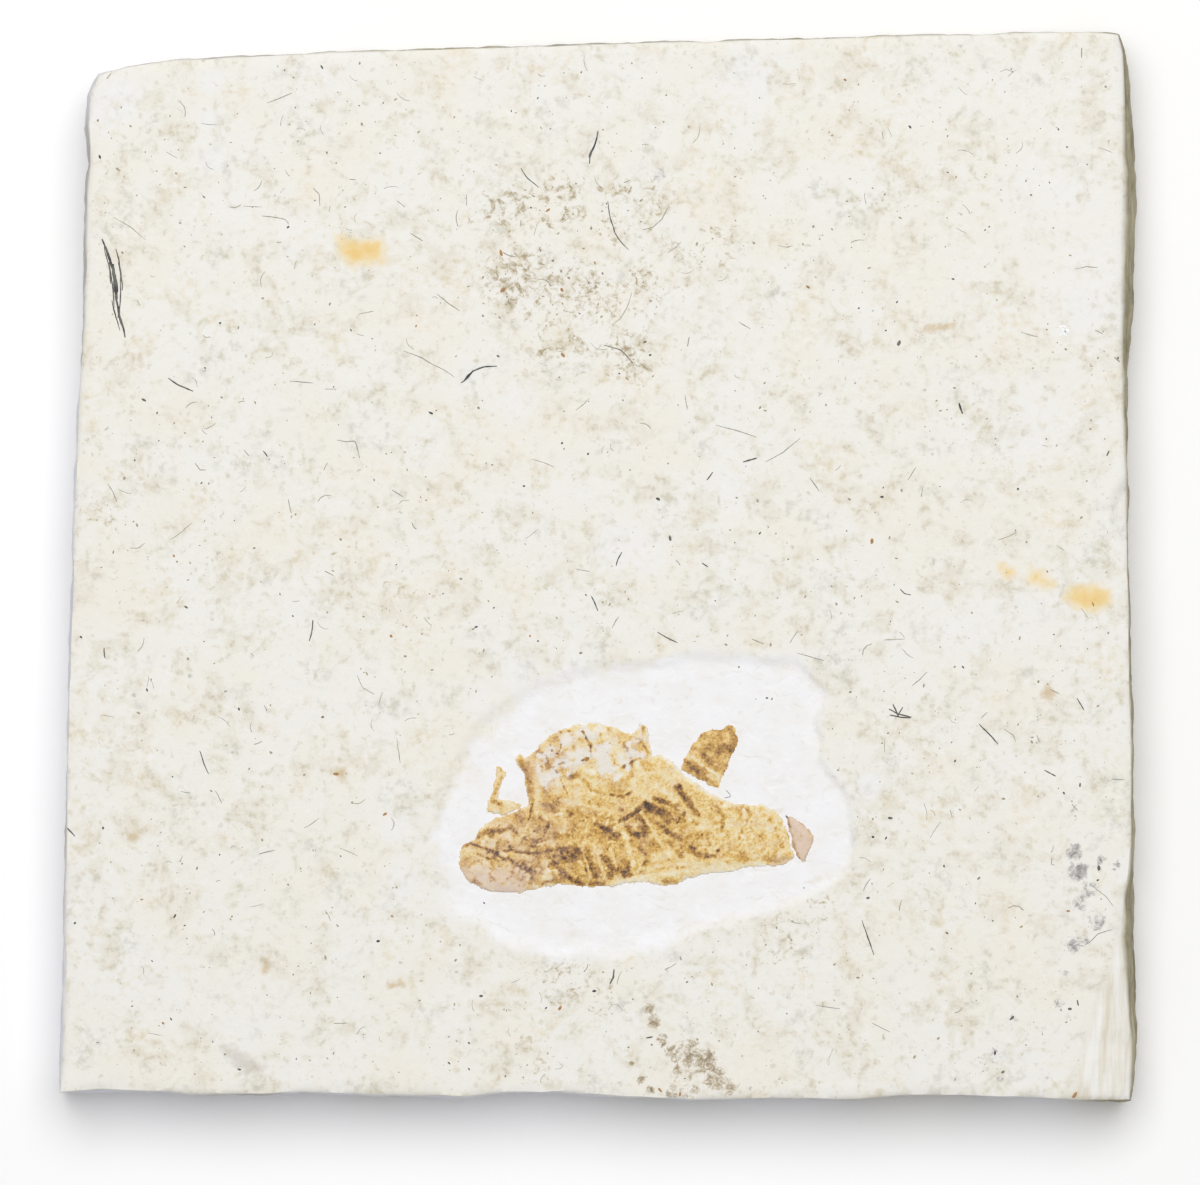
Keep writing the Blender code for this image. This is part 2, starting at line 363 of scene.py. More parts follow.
def blend(tree, share, first, second):
    """Mixes two colours, each a hex code or a socket."""
    sides = [hex_colour(c) if isinstance(c, str) else c for c in (first, second)]
    made = add(tree, "ShaderNodeMix", {"data_type": "RGBA"}, {0: share, 6: sides[0], 7: sides[1]})
    return made.outputs[2]


def attribute(tree, name):
    return add(tree, "ShaderNodeAttribute", {"attribute_name": name}).outputs["Fac"]


def bump(tree, shader, height, distance, strength=1.0):
    made = add(tree, "ShaderNodeBump", None, {
        "Height": height, "Distance": distance * MM, "Strength": strength,
    })
    tree.links.new(made.outputs["Normal"], shader.inputs["Normal"])


def warped(tree, vector, size, reach):
    """The same places, each pushed a little aside, which makes what is drawn with them ragged."""
    push = add(tree, "ShaderNodeTexNoise", None, {"Vector": vector, "Scale": 1.0 / size, "Detail": 2.0})
    scaled = add(tree, "ShaderNodeVectorMath", {"operation": "SCALE"}, {
        0: push.outputs["Color"], "Scale": reach,
    })
    moved = add(tree, "ShaderNodeVectorMath", {"operation": "ADD"}, {0: vector, 1: scaled.outputs["Vector"]})
    return moved.outputs["Vector"]


def flecks(tree, vector, size, share, radius):
    """Small round marks, one in some of the cells of a grid of cells about size wide."""
    cells = add(tree, "ShaderNodeTexVoronoi", None, {"Vector": vector, "Scale": 1.0 / size})
    chosen = add(tree, "ShaderNodeSeparateColor", None, {"Color": cells.outputs["Color"]})
    reach = window(tree, chosen.outputs["Red"], 1.0 - share, 1.0, 0.0, radius)
    inner = calculate(tree, "SUBTRACT", reach, cells.outputs["Distance"])
    return window(tree, inner, -0.04, 0.06)


def limestone():
    """Chalky laminated limestone, sawn, split and scraped. It is matt and cream white, mottled with
    beige and grey, and full of tiny brown and grey flecks."""
    material, tree, shader, mm = new_material("chalky_limestone", 0.9, 0.2)
    broad = noise(tree, mm, 9.0, 3.0, 0.55)
    patches = noise(tree, mm, 3.0, 6.0, 0.68, 0.35)
    grains = noise(tree, mm, 0.75, 4.0, 0.65)
    dust = noise(tree, mm, 0.3, 2.0, 0.6)
    jagged = warped(tree, mm, 0.4, 0.7)
    colour = blend(tree, window(tree, broad, 0.4, 0.62), "#EEECE6", "#EEEAE0")
    colour = blend(tree, window(tree, patches, 0.5, 0.66, 0, 0.8), colour, "#E2DCCC")
    curds = calculate(tree, "MULTIPLY", window(tree, patches, 0.5, 0.64), window(tree, grains, 0.5, 0.66))
    colour = blend(tree, calculate(tree, "MULTIPLY", curds, 0.7), colour, "#C9C1AB")
    colour = blend(tree, window(tree, grains, 0.58, 0.74, 0, 0.45), colour, "#D5CDBA")
    # The lightest grain spots, in near white, are painted highlights.
    colour = blend(tree, window(tree, grains, 0.42, 0.28, 0, 0.6), colour, "#F2F1EE")
    tint = noise(tree, mm, 4.2, 2.0)
    warm = calculate(tree, "MULTIPLY", window(tree, tint, 0.56, 0.7, 0, 0.5), window(tree, grains, 0.45, 0.6))
    colour = blend(tree, warm, colour, "#E6DAC0")
    cool = calculate(tree, "MULTIPLY", window(tree, tint, 0.42, 0.3, 0, 0.5), window(tree, grains, 0.45, 0.6))
    colour = blend(tree, cool, colour, "#CDCDC5")
    brown = flecks(tree, jagged, 0.8, 0.3, 0.36)
    colour = blend(tree, calculate(tree, "MULTIPLY", brown, 0.22), colour, "#B5A788")
    grey = flecks(tree, jagged, 1.4, 0.14, 0.15)
    colour = blend(tree, calculate(tree, "MULTIPLY", grey, 0.45), colour, "#8D8A80")

    pale = attribute(tree, "pale")
    colour = blend(tree, calculate(tree, "MULTIPLY", pale, window(tree, grains, 0.75, 0.35, 0.4, 0.9)), colour, "#F0EFEF")

    stipple = attribute(tree, "stipple")
    curdled = noise(tree, mm, 0.95, 6.0, 0.72, 0.5)
    curdled = calculate(tree, "ADD", curdled, calculate(tree, "MULTIPLY", stipple, 0.16))
    colour = blend(tree, window(tree, curdled, 0.62, 0.74, 0, 0.7), colour, "#C6BA9D")
    colour = blend(tree, window(tree, curdled, 0.69, 0.8, 0, 0.8), colour, "#9C8A69")
    speckle = flecks(tree, jagged, 0.55, 0.35, 0.42)
    speckle = calculate(tree, "MULTIPLY", speckle, window(tree, stipple, 0.2, 1.0, 0, 0.5))
    colour = blend(tree, speckle, colour, "#A18F73")

    moss = noise(tree, mm, 0.8, 6.0, 0.78, 0.7)
    for name, thin, thick in (("dendrite", "#B9B3B2", "#7D7777"), ("soil", "#B8A88C", "#7F6F58")):
        growth = calculate(tree, "ADD", moss, calculate(tree, "MULTIPLY", attribute(tree, name), 0.32))
        colour = blend(tree, window(tree, growth, 0.7, 0.8, 0, 0.85), colour, thin)
        colour = blend(tree, window(tree, growth, 0.8, 0.92, 0, 0.85), colour, thick)

    ragged = calculate(tree, "MULTIPLY", calculate(tree, "SUBTRACT", noise(tree, mm, 0.9, 3.0, 0.6), 0.5), 1.6)
    stain = calculate(tree, "ADD", attribute(tree, "stain"), ragged)
    colour = blend(tree, window(tree, stain, -0.5, 0.55, 0, 0.85), colour, "#F0D597")
    colour = blend(tree, window(tree, stain, 0.35, 1.3, 0, 0.7), colour, "#EBC476")
    tan = calculate(tree, "ADD", attribute(tree, "tan"), ragged)
    colour = blend(tree, window(tree, tan, -0.2, 0.4, 0, 0.75), colour, "#CDB58C")
    smear = calculate(tree, "ADD", attribute(tree, "smear"), ragged)
    colour = blend(tree, window(tree, smear, -0.3, 0.6, 0, 0.5), colour, "#C4BAAF")

    halo = calculate(tree, "ADD", attribute(tree, "halo"), ragged)
    rubbed = window(tree, halo, -0.5, 0.6)
    swept = add(tree, "ShaderNodeMapping", None, {"Vector": mm, "Rotation": (0, 0, 0.5), "Scale": (0.6, 1, 1)})
    scratches = noise(tree, swept.outputs["Vector"], 1.1, 5.0, 0.68, 1.2)
    chalk = blend(tree, window(tree, noise(tree, mm, 3.2, 3.0), 0.42, 0.64, 0, 0.8), "#F3F2F4", "#EFEDEA")
    chalk = blend(tree, window(tree, scratches, 0.56, 0.72, 0, 0.75), chalk, "#E4DED2")
    # Blue-white streaks between the scratches are painted highlights.
    chalk = blend(tree, window(tree, scratches, 0.45, 0.33, 0, 0.6), chalk, "#F8F8FB")
    worn = window(tree, calculate(tree, "ADD", halo, calculate(tree, "MULTIPLY", scratches, -2.4)), -2.0, 0.1)
    colour = blend(tree, calculate(tree, "MULTIPLY", rubbed, window(tree, worn, 0, 1, 0.5, 0.97)), colour, chalk)

    scoop = attribute(tree, "scoop")
    turned = add(tree, "ShaderNodeMapping", None, {"Vector": mm, "Rotation": (0, 0, -0.26), "Scale": (1.0, 0.08, 1.0)})
    layers = noise(tree, turned.outputs["Vector"], 0.9, 3.0, 0.6)
    flaked = blend(tree, window(tree, layers, 0.4, 0.68), "#F3F1EC", "#E0D9C6")
    colour = blend(tree, scoop, colour, flaked)

    # The sides: olive bedding bands with grime on the right and upper sides, made darker there partly as painted
    # shade; elsewhere a pale blue-white, painted as lit.
    side = attribute(tree, "side")
    flat = add(tree, "ShaderNodeMapping", None, {"Vector": mm, "Scale": (0.12, 0.12, 1.0)})
    beds = noise(tree, flat.outputs["Vector"], 0.9, 4.0, 0.65)
    bands = blend(tree, window(tree, beds, 0.38, 0.66), "#BDB59C", "#8E8566")
    grime_and_shade = noise(tree, mm, 3.5, 4.0, 0.65)
    bands = blend(tree, window(tree, grime_and_shade, 0.45, 0.7, 0, 0.75), bands, "#736A4F")
    pale_lit_side = blend(tree, window(tree, beds, 0.38, 0.7), "#E6E6EE", "#D2D2D8")
    bands = blend(tree, attribute(tree, "grime_and_shade"), pale_lit_side, bands)
    colour = blend(tree, side, colour, bands)
    tree.links.new(colour, shader.inputs["Base Color"])
    relief = calculate(tree, "ADD", calculate(tree, "MULTIPLY", grains, 0.6), calculate(tree, "MULTIPLY", dust, 0.3))
    bump(tree, shader, relief, 0.09, 0.8)
    return material


def mineral_film():
    """Insect cuticle replaced by iron-stained mineral: granular, matt with a slight waxy gloss, from
    straw yellow through amber to nearly black, with chalk where it has crumbled."""
    material, tree, shader, mm = new_material("iron_stained_cuticle", 0.62, 0.4)
    grains = noise(tree, mm, 0.26, 4.0, 0.75)
    clots = noise(tree, mm, 0.85, 3.0, 0.6)
    uneven = calculate(tree, "ADD", calculate(tree, "MULTIPLY", grains, 1.0), calculate(tree, "MULTIPLY", clots, 0.4))
    tone = calculate(tree, "ADD", attribute(tree, "tone"), calculate(tree, "SUBTRACT", uneven, 0.7))
    ramp = add(tree, "ShaderNodeValToRGB", None, {"Fac": tone})
    stops = ((0.0, "#F4EFE2"), (0.2, "#F2E6C6"), (0.36, "#EFD8A0"), (0.5, "#E4BD70"), (0.64, "#C6984F"),
             (0.78, "#936B43"), (0.9, "#604A3B"), (1.0, "#423634"))
    places = ramp.color_ramp.elements
    while len(places) < len(stops):
        places.new(0.5)
    for element, (position, code) in zip(places, stops):
        element.position = position
        element.color = hex_colour(code)
    colour = ramp.outputs["Color"]
    rose = calculate(tree, "MULTIPLY", attribute(tree, "rose"), window(tree, tone, 0.95, 0.4, 0.1, 0.85))
    colour = blend(tree, rose, colour, "#DEC5B6")
    chalky = calculate(tree, "ADD", attribute(tree, "chalk"), calculate(tree, "SUBTRACT", clots, 0.5))
    colour = blend(tree, window(tree, chalky, 0.4, 0.62, 0, 0.9), colour, "#EEEAE4")
    tree.links.new(colour, shader.inputs["Base Color"])
    bump(tree, shader, uneven, 0.12, 0.9)
    return material


def plain_mineral(name, codes, roughness=0.8):
    """A dark or bright mineral speck or fibre, uneven from one end to the other."""
    material, tree, shader, mm = new_material(name, roughness)
    patches = noise(tree, mm, 1.1, 2.0)
    colour = blend(tree, window(tree, patches, 0.35, 0.65), codes[0], codes[1])
    tree.links.new(colour, shader.inputs["Base Color"])
    bump(tree, shader, noise(tree, mm, 0.12), 0.02)
    return material


# The slab

def edge_points(edge, shares, along):
    """Points along an edge, spaced evenly in the coordinate that the edge runs along."""
    spots = np.array(edge)
    reach = spots[0, along] + shares * (spots[-1, along] - spots[0, along])
    return np.stack([np.interp(reach, spots[:, along], spots[:, i]) for i in range(3)], 1)


def crowded(count, start, end, share):
    """Shares from 0 to 1 for count columns, closer together between start and end."""
    where = np.linspace(0, 1, 4001)
    weight = np.where((where > start) & (where < end), share, 1.0)
    total = np.concatenate([[0], np.cumsum((weight[1:] + weight[:-1]) / 2)])
    return np.interp(np.linspace(0, total[-1], count), total, where)


def build_slab():
    columns, rows = 272, 262
    slab = grid("limestone", columns, rows)
    flat = places_of(slab) * MM
    u = crowded(columns + 1, 0.33, 0.75, 1.6)[np.rint((flat[:, 0] + 1) / 2 * columns).astype(int)]
    v = crowded(rows + 1, 0.12, 0.44, 1.6)[np.rint((flat[:, 1] + 1) / 2 * rows).astype(int)]
    lower = edge_points(LOWER_EDGE, u, 0)
    upper = edge_points(UPPER_EDGE, u, 0)
    left = edge_points(LEFT_EDGE, v, 1)
    right = edge_points(RIGHT_EDGE, v, 1)
    u = u[:, None]
    v = v[:, None]
    corners = [np.array(spot) for spot in (LOWER_EDGE[0], LOWER_EDGE[-1], UPPER_EDGE[0], UPPER_EDGE[-1])]
    base = (1 - u) * (1 - v) * corners[0] + u * (1 - v) * corners[1]
    base = base + (1 - u) * v * corners[2] + u * v * corners[3]
    spots = (1 - v) * lower + v * upper + (1 - u) * left + u * right - base
    rim = (u[:, 0] < 1e-9) | (u[:, 0] > 1 - 1e-9) | (v[:, 0] < 1e-9) | (v[:, 0] > 1 - 1e-9)
    places = np.column_stack([spots[:, :2], np.full(len(spots), THICKNESS)])
    set_places(slab, places)
    leans = spots[rim, 2]
    rim_spots = spots[rim, :2]
    select_rim(slab)
    drop_rim([depth for depth, _ in SIDE_RINGS])

    places = places_of(slab)
    face = places[:, 2] > THICKNESS - 1e-4
    x, y = places[:, 0], places[:, 1]
    order = np.argsort(np.arctan2(rim_spots[:, 1], rim_spots[:, 0]))
    ring = rim_spots[order]
    ring_lean = leans[order]
    tangent = np.roll(ring, -4, 0) - np.roll(ring, 4, 0)
    outward = np.column_stack([tangent[:, 1], -tangent[:, 0]])
    outward /= np.hypot(outward[:, 0], outward[:, 1])[:, None]
    run = np.concatenate([[0], np.cumsum(np.hypot(*np.diff(ring, axis=0).T))])

    angle = np.arctan2(y, x)
    ring_angle = np.arctan2(ring[:, 1], ring[:, 0])
    nearest = np.clip(np.searchsorted(ring_angle, angle - 1e-7), 0, len(ring) - 1)
    depth = THICKNESS - places[:, 2]
    share = np.interp(depth, [0] + [d for d, _ in SIDE_RINGS], [0] + [s for _, s in SIDE_RINGS])
    along = run[nearest]
    rough = 0.16 * ripple(along, depth, 3.1, 41) + 0.12 * ripple(along * 0.3, depth, 0.7, 42)
    rough = rough + 0.07 * ripple(along, depth, 0.9, 43)
    rough = rough * np.clip(depth / 0.8, 0, 1)
    shift = ring_lean[nearest] * share + rough - SIDE_FOOT * step(depth, 9.4, 10.0)
    arris = 0.06 + 0.06 * ripple(along, depth, 1.7, 44)
    shift = np.where(depth < 0.01, -arris, shift)
    on_side = depth > 1e-4
    on_rim = np.zeros(len(places), bool)
    gap = np.hypot(x - ring[nearest, 0], y - ring[nearest, 1])
    on_rim[gap < 1e-3] = True
    moved = places.copy()
    moved[on_rim, :2] += outward[nearest[on_rim]] * shift[on_rim, None]
    inward = np.minimum.reduce([
        np.abs(spots[:, 0] - left[:, 0]), np.abs(spots[:, 0] - right[:, 0]),
        np.abs(spots[:, 1] - lower[:, 1]), np.abs(spots[:, 1] - upper[:, 1]),
    ])
    inward_all = np.zeros(len(places))
    inward_all[:len(inward)] = inward
    height = face_height(x, y)
    wear = (0.16 + 0.1 * ripple(x, y, 2.4, 45)) * (1 - step(inward_all, 0, 0.75))
    fade = np.where(on_side, np.clip(1 - depth / 4.5, 0, 1), 1)
    lowest = np.where(on_side, np.minimum(height, 0), height) * fade
    lift = np.where(on_side, lowest - 0.16 * np.clip(1 - depth / 1.0, 0, 1), height - wear)
    lift = np.where(depth > THICKNESS - 0.6, 0, lift)
    moved[:, 2] += lift
    set_places(slab, moved)

    add_slab_fields(slab, moved, face, depth, along)
    slab.data.materials.append(limestone())
    only(slab)
    bpy.ops.object.shade_smooth_by_angle(angle=math.radians(50))
    return slab


def blot(x, y, spots):
    """Soft round patches: each spot is across, down and radius on the sheet, and a strength."""
    total = np.zeros(np.shape(x))
    for across, down, radius, strength in spots:
        cx, cy = on_face([(across, down)])[0]
        far = np.hypot(x - cx, y - cy) / (radius * SHEET_UNIT)
        total = np.maximum(total, strength * (1 - step(far, 0.35, 1.15)))
    return total


STIPPLED = (
    (505, 210, 45, 0.8), (555, 200, 42, 0.9), (620, 215, 50, 0.75), (520, 280, 55, 1.0),
    (585, 290, 50, 0.9), (640, 290, 42, 0.8), (560, 345, 45, 0.8), (625, 355, 42, 0.8),
    (680, 260, 45, 0.5), (560, 985, 42, 0.75), (600, 1000, 40, 0.6), (535, 1060, 35, 0.5),
    (780, 940, 35, 0.7), (815, 915, 25, 0.6), (660, 200, 30, 0.7), (720, 250, 45, 0.5),
    (800, 260, 30, 0.4), (905, 745, 45, 0.35), (880, 820, 40, 0.35), (205, 550, 55, 0.3),
    (95, 520, 30, 0.4), (345, 560, 40, 0.35), (600, 610, 45, 0.35), (420, 600, 60, 0.3),
)
DENDRITES = (
    (1075, 852, 14, 1.0), (1078, 872, 16, 1.0), (1090, 868, 14, 0.6), (1100, 860, 8, 0.95),
    (1116, 866, 9, 0.8), (1088, 890, 18, 0.7), (1105, 885, 14, 0.35), (1080, 902, 12, 0.9),
    (1094, 920, 18, 0.75), (1074, 945, 12, 1.0), (1086, 942, 10, 0.8), (1063, 975, 10, 0.6),
    (1060, 1003, 10, 0.7), (1052, 1020, 12, 0.5), (1030, 1040, 12, 0.55), (1014, 1018, 8, 0.7),
    (995, 1054, 14, 0.65), (982, 1062, 10, 0.7), (998, 1078, 10, 0.7), (1045, 1075, 14, 0.5),
    (660, 176, 12, 0.7), (655, 188, 12, 0.6), (755, 1085, 16, 0.35),
)
SOILED = (
    (650, 1008, 8, 0.9), (654, 1022, 10, 1.0), (662, 1040, 10, 0.9), (672, 1052, 12, 0.85),
    (634, 1064, 7, 0.9), (641, 1080, 8, 1.0), (650, 1090, 8, 0.9), (690, 1052, 20, 0.9),
    (705, 1060, 18, 0.95), (684, 1070, 18, 0.8), (715, 1078, 18, 0.9), (690, 1090, 16, 0.8),
    (728, 1085, 14, 0.9), (672, 1092, 12, 0.8), (665, 975, 16, 0.35),
)
BLEACHED = (
    (118, 100, 28, 1.0), (100, 120, 22, 0.9), (212, 80, 16, 0.9), (212, 120, 14, 0.8),
    (212, 160, 16, 0.8), (230, 200, 30, 0.5), (300, 235, 30, 0.5), (520, 400, 24, 0.7),
    (620, 545, 32, 0.8), (645, 560, 24, 0.8), (735, 485, 30, 0.5), (1060, 200, 80, 0.5),
    (1080, 280, 70, 0.6), (1050, 430, 60, 0.4), (745, 90, 40, 0.5), (255, 1010, 55, 0.4),
    (160, 990, 60, 0.35), (870, 785, 16, 0.9), (400, 880, 26, 0.7), (395, 830, 20, 0.6),
    (1010, 620, 50, 0.4), (960, 640, 40, 0.35), (520, 680, 30, 0.6), (480, 700, 26, 0.7),
)


def add_slab_fields(slab, places, face, depth, along):
    """Where the stone is scraped, stained, stippled, soiled or broken, and where its sides are grimy or carry painted
    shade, for its material.
    """
    x, y = places[:, 0], places[:, 1]
    rough = 1 - 0.65 * np.clip(step(x, 6, 18) + (1 - step(y, -38, -28)), 0, 1)
    uneven = rough * (1.5 * ripple(x, y, 3.4, 51) + 0.8 * ripple(x, y, 1.5, 52) + 0.4 * ripple(x, y, 0.8, 53))
    set_attribute(slab, "halo", np.clip(depth_inside(x, y, HALO_MM) + uneven - 0.3 * rough, -2, 2))
    for name, outlines in (("stain", YELLOW_STAINS), ("tan", TAN_MARKS), ("smear", (PLANT_SMEAR,))):
        deepest = np.max([depth_inside(x, y, on_face(outline)) for outline in outlines], 0)
        set_attribute(slab, name, np.where(face, np.clip(deepest, -2, 2), -2))
    for name, spots in (("stipple", STIPPLED), ("dendrite", DENDRITES), ("soil", SOILED), ("pale", BLEACHED)):
        set_attribute(slab, name, np.where(face, blot(x, y, spots), 0))
    set_attribute(slab, "scoop", step(scoop_depth(x, y), 0.05, 0.2) * (depth < 2.0))
    set_attribute(slab, "side", step(depth, 0.1, 0.45))
    # Sides darker on the right and upper edges: partly grime, partly painted shade.
    right = step(x, 45, 51)
    upper = step(y, 48, 52) * 0.8
    grime_and_shade_share = np.clip(right + upper + 0.5 * step(ripple(along, depth, 14, 46), 0.1, 0.6), 0, 1)
    set_attribute(slab, "grime_and_shade", grime_and_shade_share)


# The insect

# Strokes over the insect: half width in sheet units, tone, and the line. Tone runs from 0, straw
# white, to 1, black.
DARK_STROKES = (
    (2, 0.95, ((460, 847), (470, 843), (480, 847), (492, 852), (504, 858))),
    (1.6, 0.9, ((478, 854), (490, 859), (500, 852), (512, 850), (523, 853))),
    (3, 0.85, ((466, 842), (476, 836), (486, 832), (497, 830))),
    (2.5, 0.85, ((500, 832), (510, 826), (516, 832))),
    (2, 0.9, ((540, 818), (548, 824), (545, 832))),
    (2.5, 0.85, ((525, 838), (536, 842), (548, 838))),
    (2, 0.9, ((520, 852), (538, 853), (552, 850))),
    (4, 0.92, ((558, 847), (566, 851), (574, 847))),
    (4, 0.88, ((560, 857), (568, 861), (573, 857))),
    (3, 0.9, ((552, 862), (562, 870), (572, 880), (582, 885))),
    (3, 0.88, ((526, 868), (534, 874), (530, 882))),
    (3, 0.85, ((512, 872), (520, 880))),
    (3, 0.8, ((474, 880), (480, 884))),
    (2.5, 0.85, ((505, 858), (515, 862), (522, 868))),
    (2.5, 0.9, ((592, 884), (606, 884))),
    (3, 0.9, ((588, 868), (596, 876))),
    (3, 0.85, ((577, 850), (590, 858), (588, 870))),
    (4, 0.92, ((616, 868), (628, 876))),
    (3, 0.85, ((604, 858), (612, 868), (610, 878))),
    (3, 0.9, ((596, 824), (606, 829), (618, 836))),
    (4, 0.95, ((626, 829), (637, 835))),
    (2.5, 0.92, ((620, 822), (633, 814), (646, 803))),
    (3, 0.85, ((640, 818), (646, 826), (644, 836))),
    (5, 0.95, ((650, 807), (660, 812), (668, 818))),
    (3, 0.9, ((655, 799), (668, 803), (676, 806))),
    (3, 0.88, ((658, 824), (668, 832), (678, 838))),
    (4, 0.95, ((678, 787), (684, 795), (690, 804))),
    (3, 0.85, ((690, 806), (698, 815))),
    (2.5, 0.8, ((640, 848), (648, 858), (645, 868))),
    (2.5, 0.8, ((632, 856), (636, 866))),
    (3, 0.78, ((690, 850), (700, 856), (713, 856))),
    (2, 0.95, ((718, 851),)),
    (4.5, 0.66, ((743, 857), (750, 863), (755, 865))),
    (3.5, 0.6, ((729, 854), (740, 858))),
    (3.5, 0.62, ((665, 882), (678, 884))),
    (3, 0.66, ((765, 858), (778, 862))),
    (2, 0.95, ((786, 816), (788, 828), (791, 840), (795, 852), (799, 860))),
    (1.7, 0.9, ((583, 732), (590, 744), (591, 757), (580, 761))),
    (0.9, 0.8, ((553, 741), (557, 737), (562, 744), (558, 754), (552, 751))),
    (1.0, 0.72, ((541, 760), (552, 768), (562, 763), (574, 760))),
    (1.0, 0.8, ((556, 771), (562, 783), (567, 793))),
    (0.8, 0.68, ((600, 733), (604, 750), (612, 756))),
    (0.8, 0.72, ((546, 738), (556, 733), (566, 730), (577, 735))),
    (1.2, 0.75, ((538, 750), (546, 756), (549, 764))),
    (3.5, 0.78, ((570, 778), (577, 774))),
    (1.8, 0.72, ((626, 745), (631, 760), (632, 776))),
    (1.8, 0.72, ((644, 726), (641, 740), (648, 752))),
    (1.5, 0.8, ((618, 770), (628, 764), (640, 758))),
    (2, 0.66, ((584, 780), (592, 790), (604, 794))),
    (1.5, 0.85, ((610, 795), (622, 797), (632, 792))),
    (3.5, 0.72, ((521, 760), (526, 772), (531, 786), (531, 803))),
    (1.2, 0.95, ((532, 805), (530, 818), (524, 826))),
    (1.5, 0.7, ((744, 806), (750, 812), (748, 820))),
    (1.8, 0.7, ((716, 806), (724, 818), (722, 830))),
)
PALE_STROKES = (
    (2.4, 0.22, ((622, 824), (627, 842), (633, 864))),
    (1.4, 0.25, ((594, 846), (599, 860), (603, 872))),
    (1.4, 0.28, ((608, 842), (613, 856), (616, 866))),
    (1.3, 0.3, ((582, 850), (587, 864), (590, 876))),
    (1.6, 0.3, ((641, 812), (652, 830), (664, 848))),
    (1.6, 0.35, ((694, 800), (708, 822), (722, 842))),
    (1.6, 0.35, ((728, 804), (742, 824), (752, 846))),
    (1.6, 0.35, ((752, 808), (766, 830), (772, 850))),
    (3.5, 0.15, ((690, 776), (706, 788), (720, 797), (740, 800))),
    (3.0, 0.18, ((664, 757), (680, 770), (696, 786), (712, 796))),
    (3.5, 0.2, ((652, 785), (664, 790), (674, 800))),
    (3.0, 0.22, ((608, 884), (640, 879), (680, 872), (724, 867), (760, 863))),
    (2.0, 0.3, ((640, 869), (670, 864), (700, 864), (722, 861))),
    (5.0, 0.2, ((655, 858), (668, 854))),
    (2.4, 0.12, ((501, 853), (505, 854))),
    (2.0, 0.2, ((486, 838), (493, 841))),
    (1.6, 0.25, ((520, 830), (530, 828), (534, 834))),
    (2.0, 0.3, ((560, 800), (590, 806), (612, 812))),
    (2.2, 0.35, ((556, 776), (560, 786))),
)
LEG_STROKES = (
    (1.6, 0.15, ((692, 757), (708, 769), (724, 779))),
    (3.2, 0.84, ((725, 746), (730, 750))),
    (3.0, 0.78, ((703, 755), (710, 762), (720, 752))),
    (2.4, 0.78, ((690, 765), (697, 770), (704, 776))),
    (2.4, 0.62, ((700, 740), (712, 736), (724, 738))),
    (2.0, 0.75, ((730, 728), (737, 740), (732, 756))),
    (2.2, 0.7, ((708, 779), (716, 786))),
)
FRONT_STROKES = (
    (2.2, 0.9, ((492, 801), (500, 804))),
    (2.0, 0.6, ((500, 768), (502, 776), (496, 790), (492, 800))),
    (2.5, 0.4, ((496, 808), (508, 808), (519, 806))),
)
TAIL_STROKES = (
    (1.8, 0.85, ((788, 817), (790, 830), (794, 846), (799, 860))),
    (1.6, 0.72, ((800, 822), (809, 830), (813, 838), (810, 850), (804, 861))),
    (1.2, 0.6, ((800, 832), (803, 842))),
)
CRUMBLED = (
    (536, 752), (546, 738), (562, 729), (580, 725), (600, 723), (618, 730), (630, 738), (642, 724),
    (650, 745), (646, 760), (634, 772), (618, 784), (598, 776), (580, 768), (566, 790), (548, 795),
    (536, 785), (534, 768),
)


HEAD = ((462, 845), (480, 826), (520, 812), (562, 808), (580, 850), (572, 885), (520, 890), (475, 884))
CHIN = ((462, 858), (500, 862), (540, 862), (560, 872), (552, 884), (520, 890), (484, 888), (468, 876))
MID_BODY = ((566, 812), (600, 800), (650, 796), (700, 812), (716, 850), (700, 874), (640, 882), (575, 886))
ABDOMEN = ((690, 786), (720, 800), (760, 806), (786, 830), (788, 860), (720, 868), (704, 830))
# For each: how many strokes, where, their half widths and tones, and the longest of them
GRAIN_ZONES = (
    (70, HEAD, (0.6, 1.7), (0.65, 0.95), 8), (45, HEAD, (0.6, 1.5), (0.05, 0.3), 8),
    (40, CHIN, (0.5, 1.5), (0.5, 0.85), 8), (30, CHIN, (0.8, 2.2), (0.05, 0.25), 8),
    (95, MID_BODY, (0.6, 1.8), (0.62, 0.86), 9), (40, MID_BODY, (0.5, 1.2), (0.15, 0.35), 10),
    (75, ABDOMEN, (0.6, 2.0), (0.5, 0.68), 9), (45, ABDOMEN, (0.6, 1.5), (0.15, 0.3), 9),
    (55, CRUMBLED, (0.4, 1.1), (0.5, 0.85), 9), (40, CRUMBLED, (0.6, 2.4), (0.0, 0.25), 9),
)


def smeared(value, x, y, strokes, seed):
    """Lays the strokes over a field of tones, with uneven edges and gaps."""
    jitter = 0.09 * ripple(x, y, 0.35, seed) + 0.06 * ripple(x, y, 0.18, seed + 1)
    hold = np.clip(0.72 + 0.3 * ripple(x, y, 0.4, seed + 2), 0, 1)
    for half_width, tone, line in strokes:
        far = line_distance(x, y, on_face(line).tolist()) + jitter
        reach = half_width * SHEET_UNIT
        cover = hold * (1 - step(far, reach * 0.4, reach * 1.5))
        value = value * (1 - cover) + tone * cover
    return value


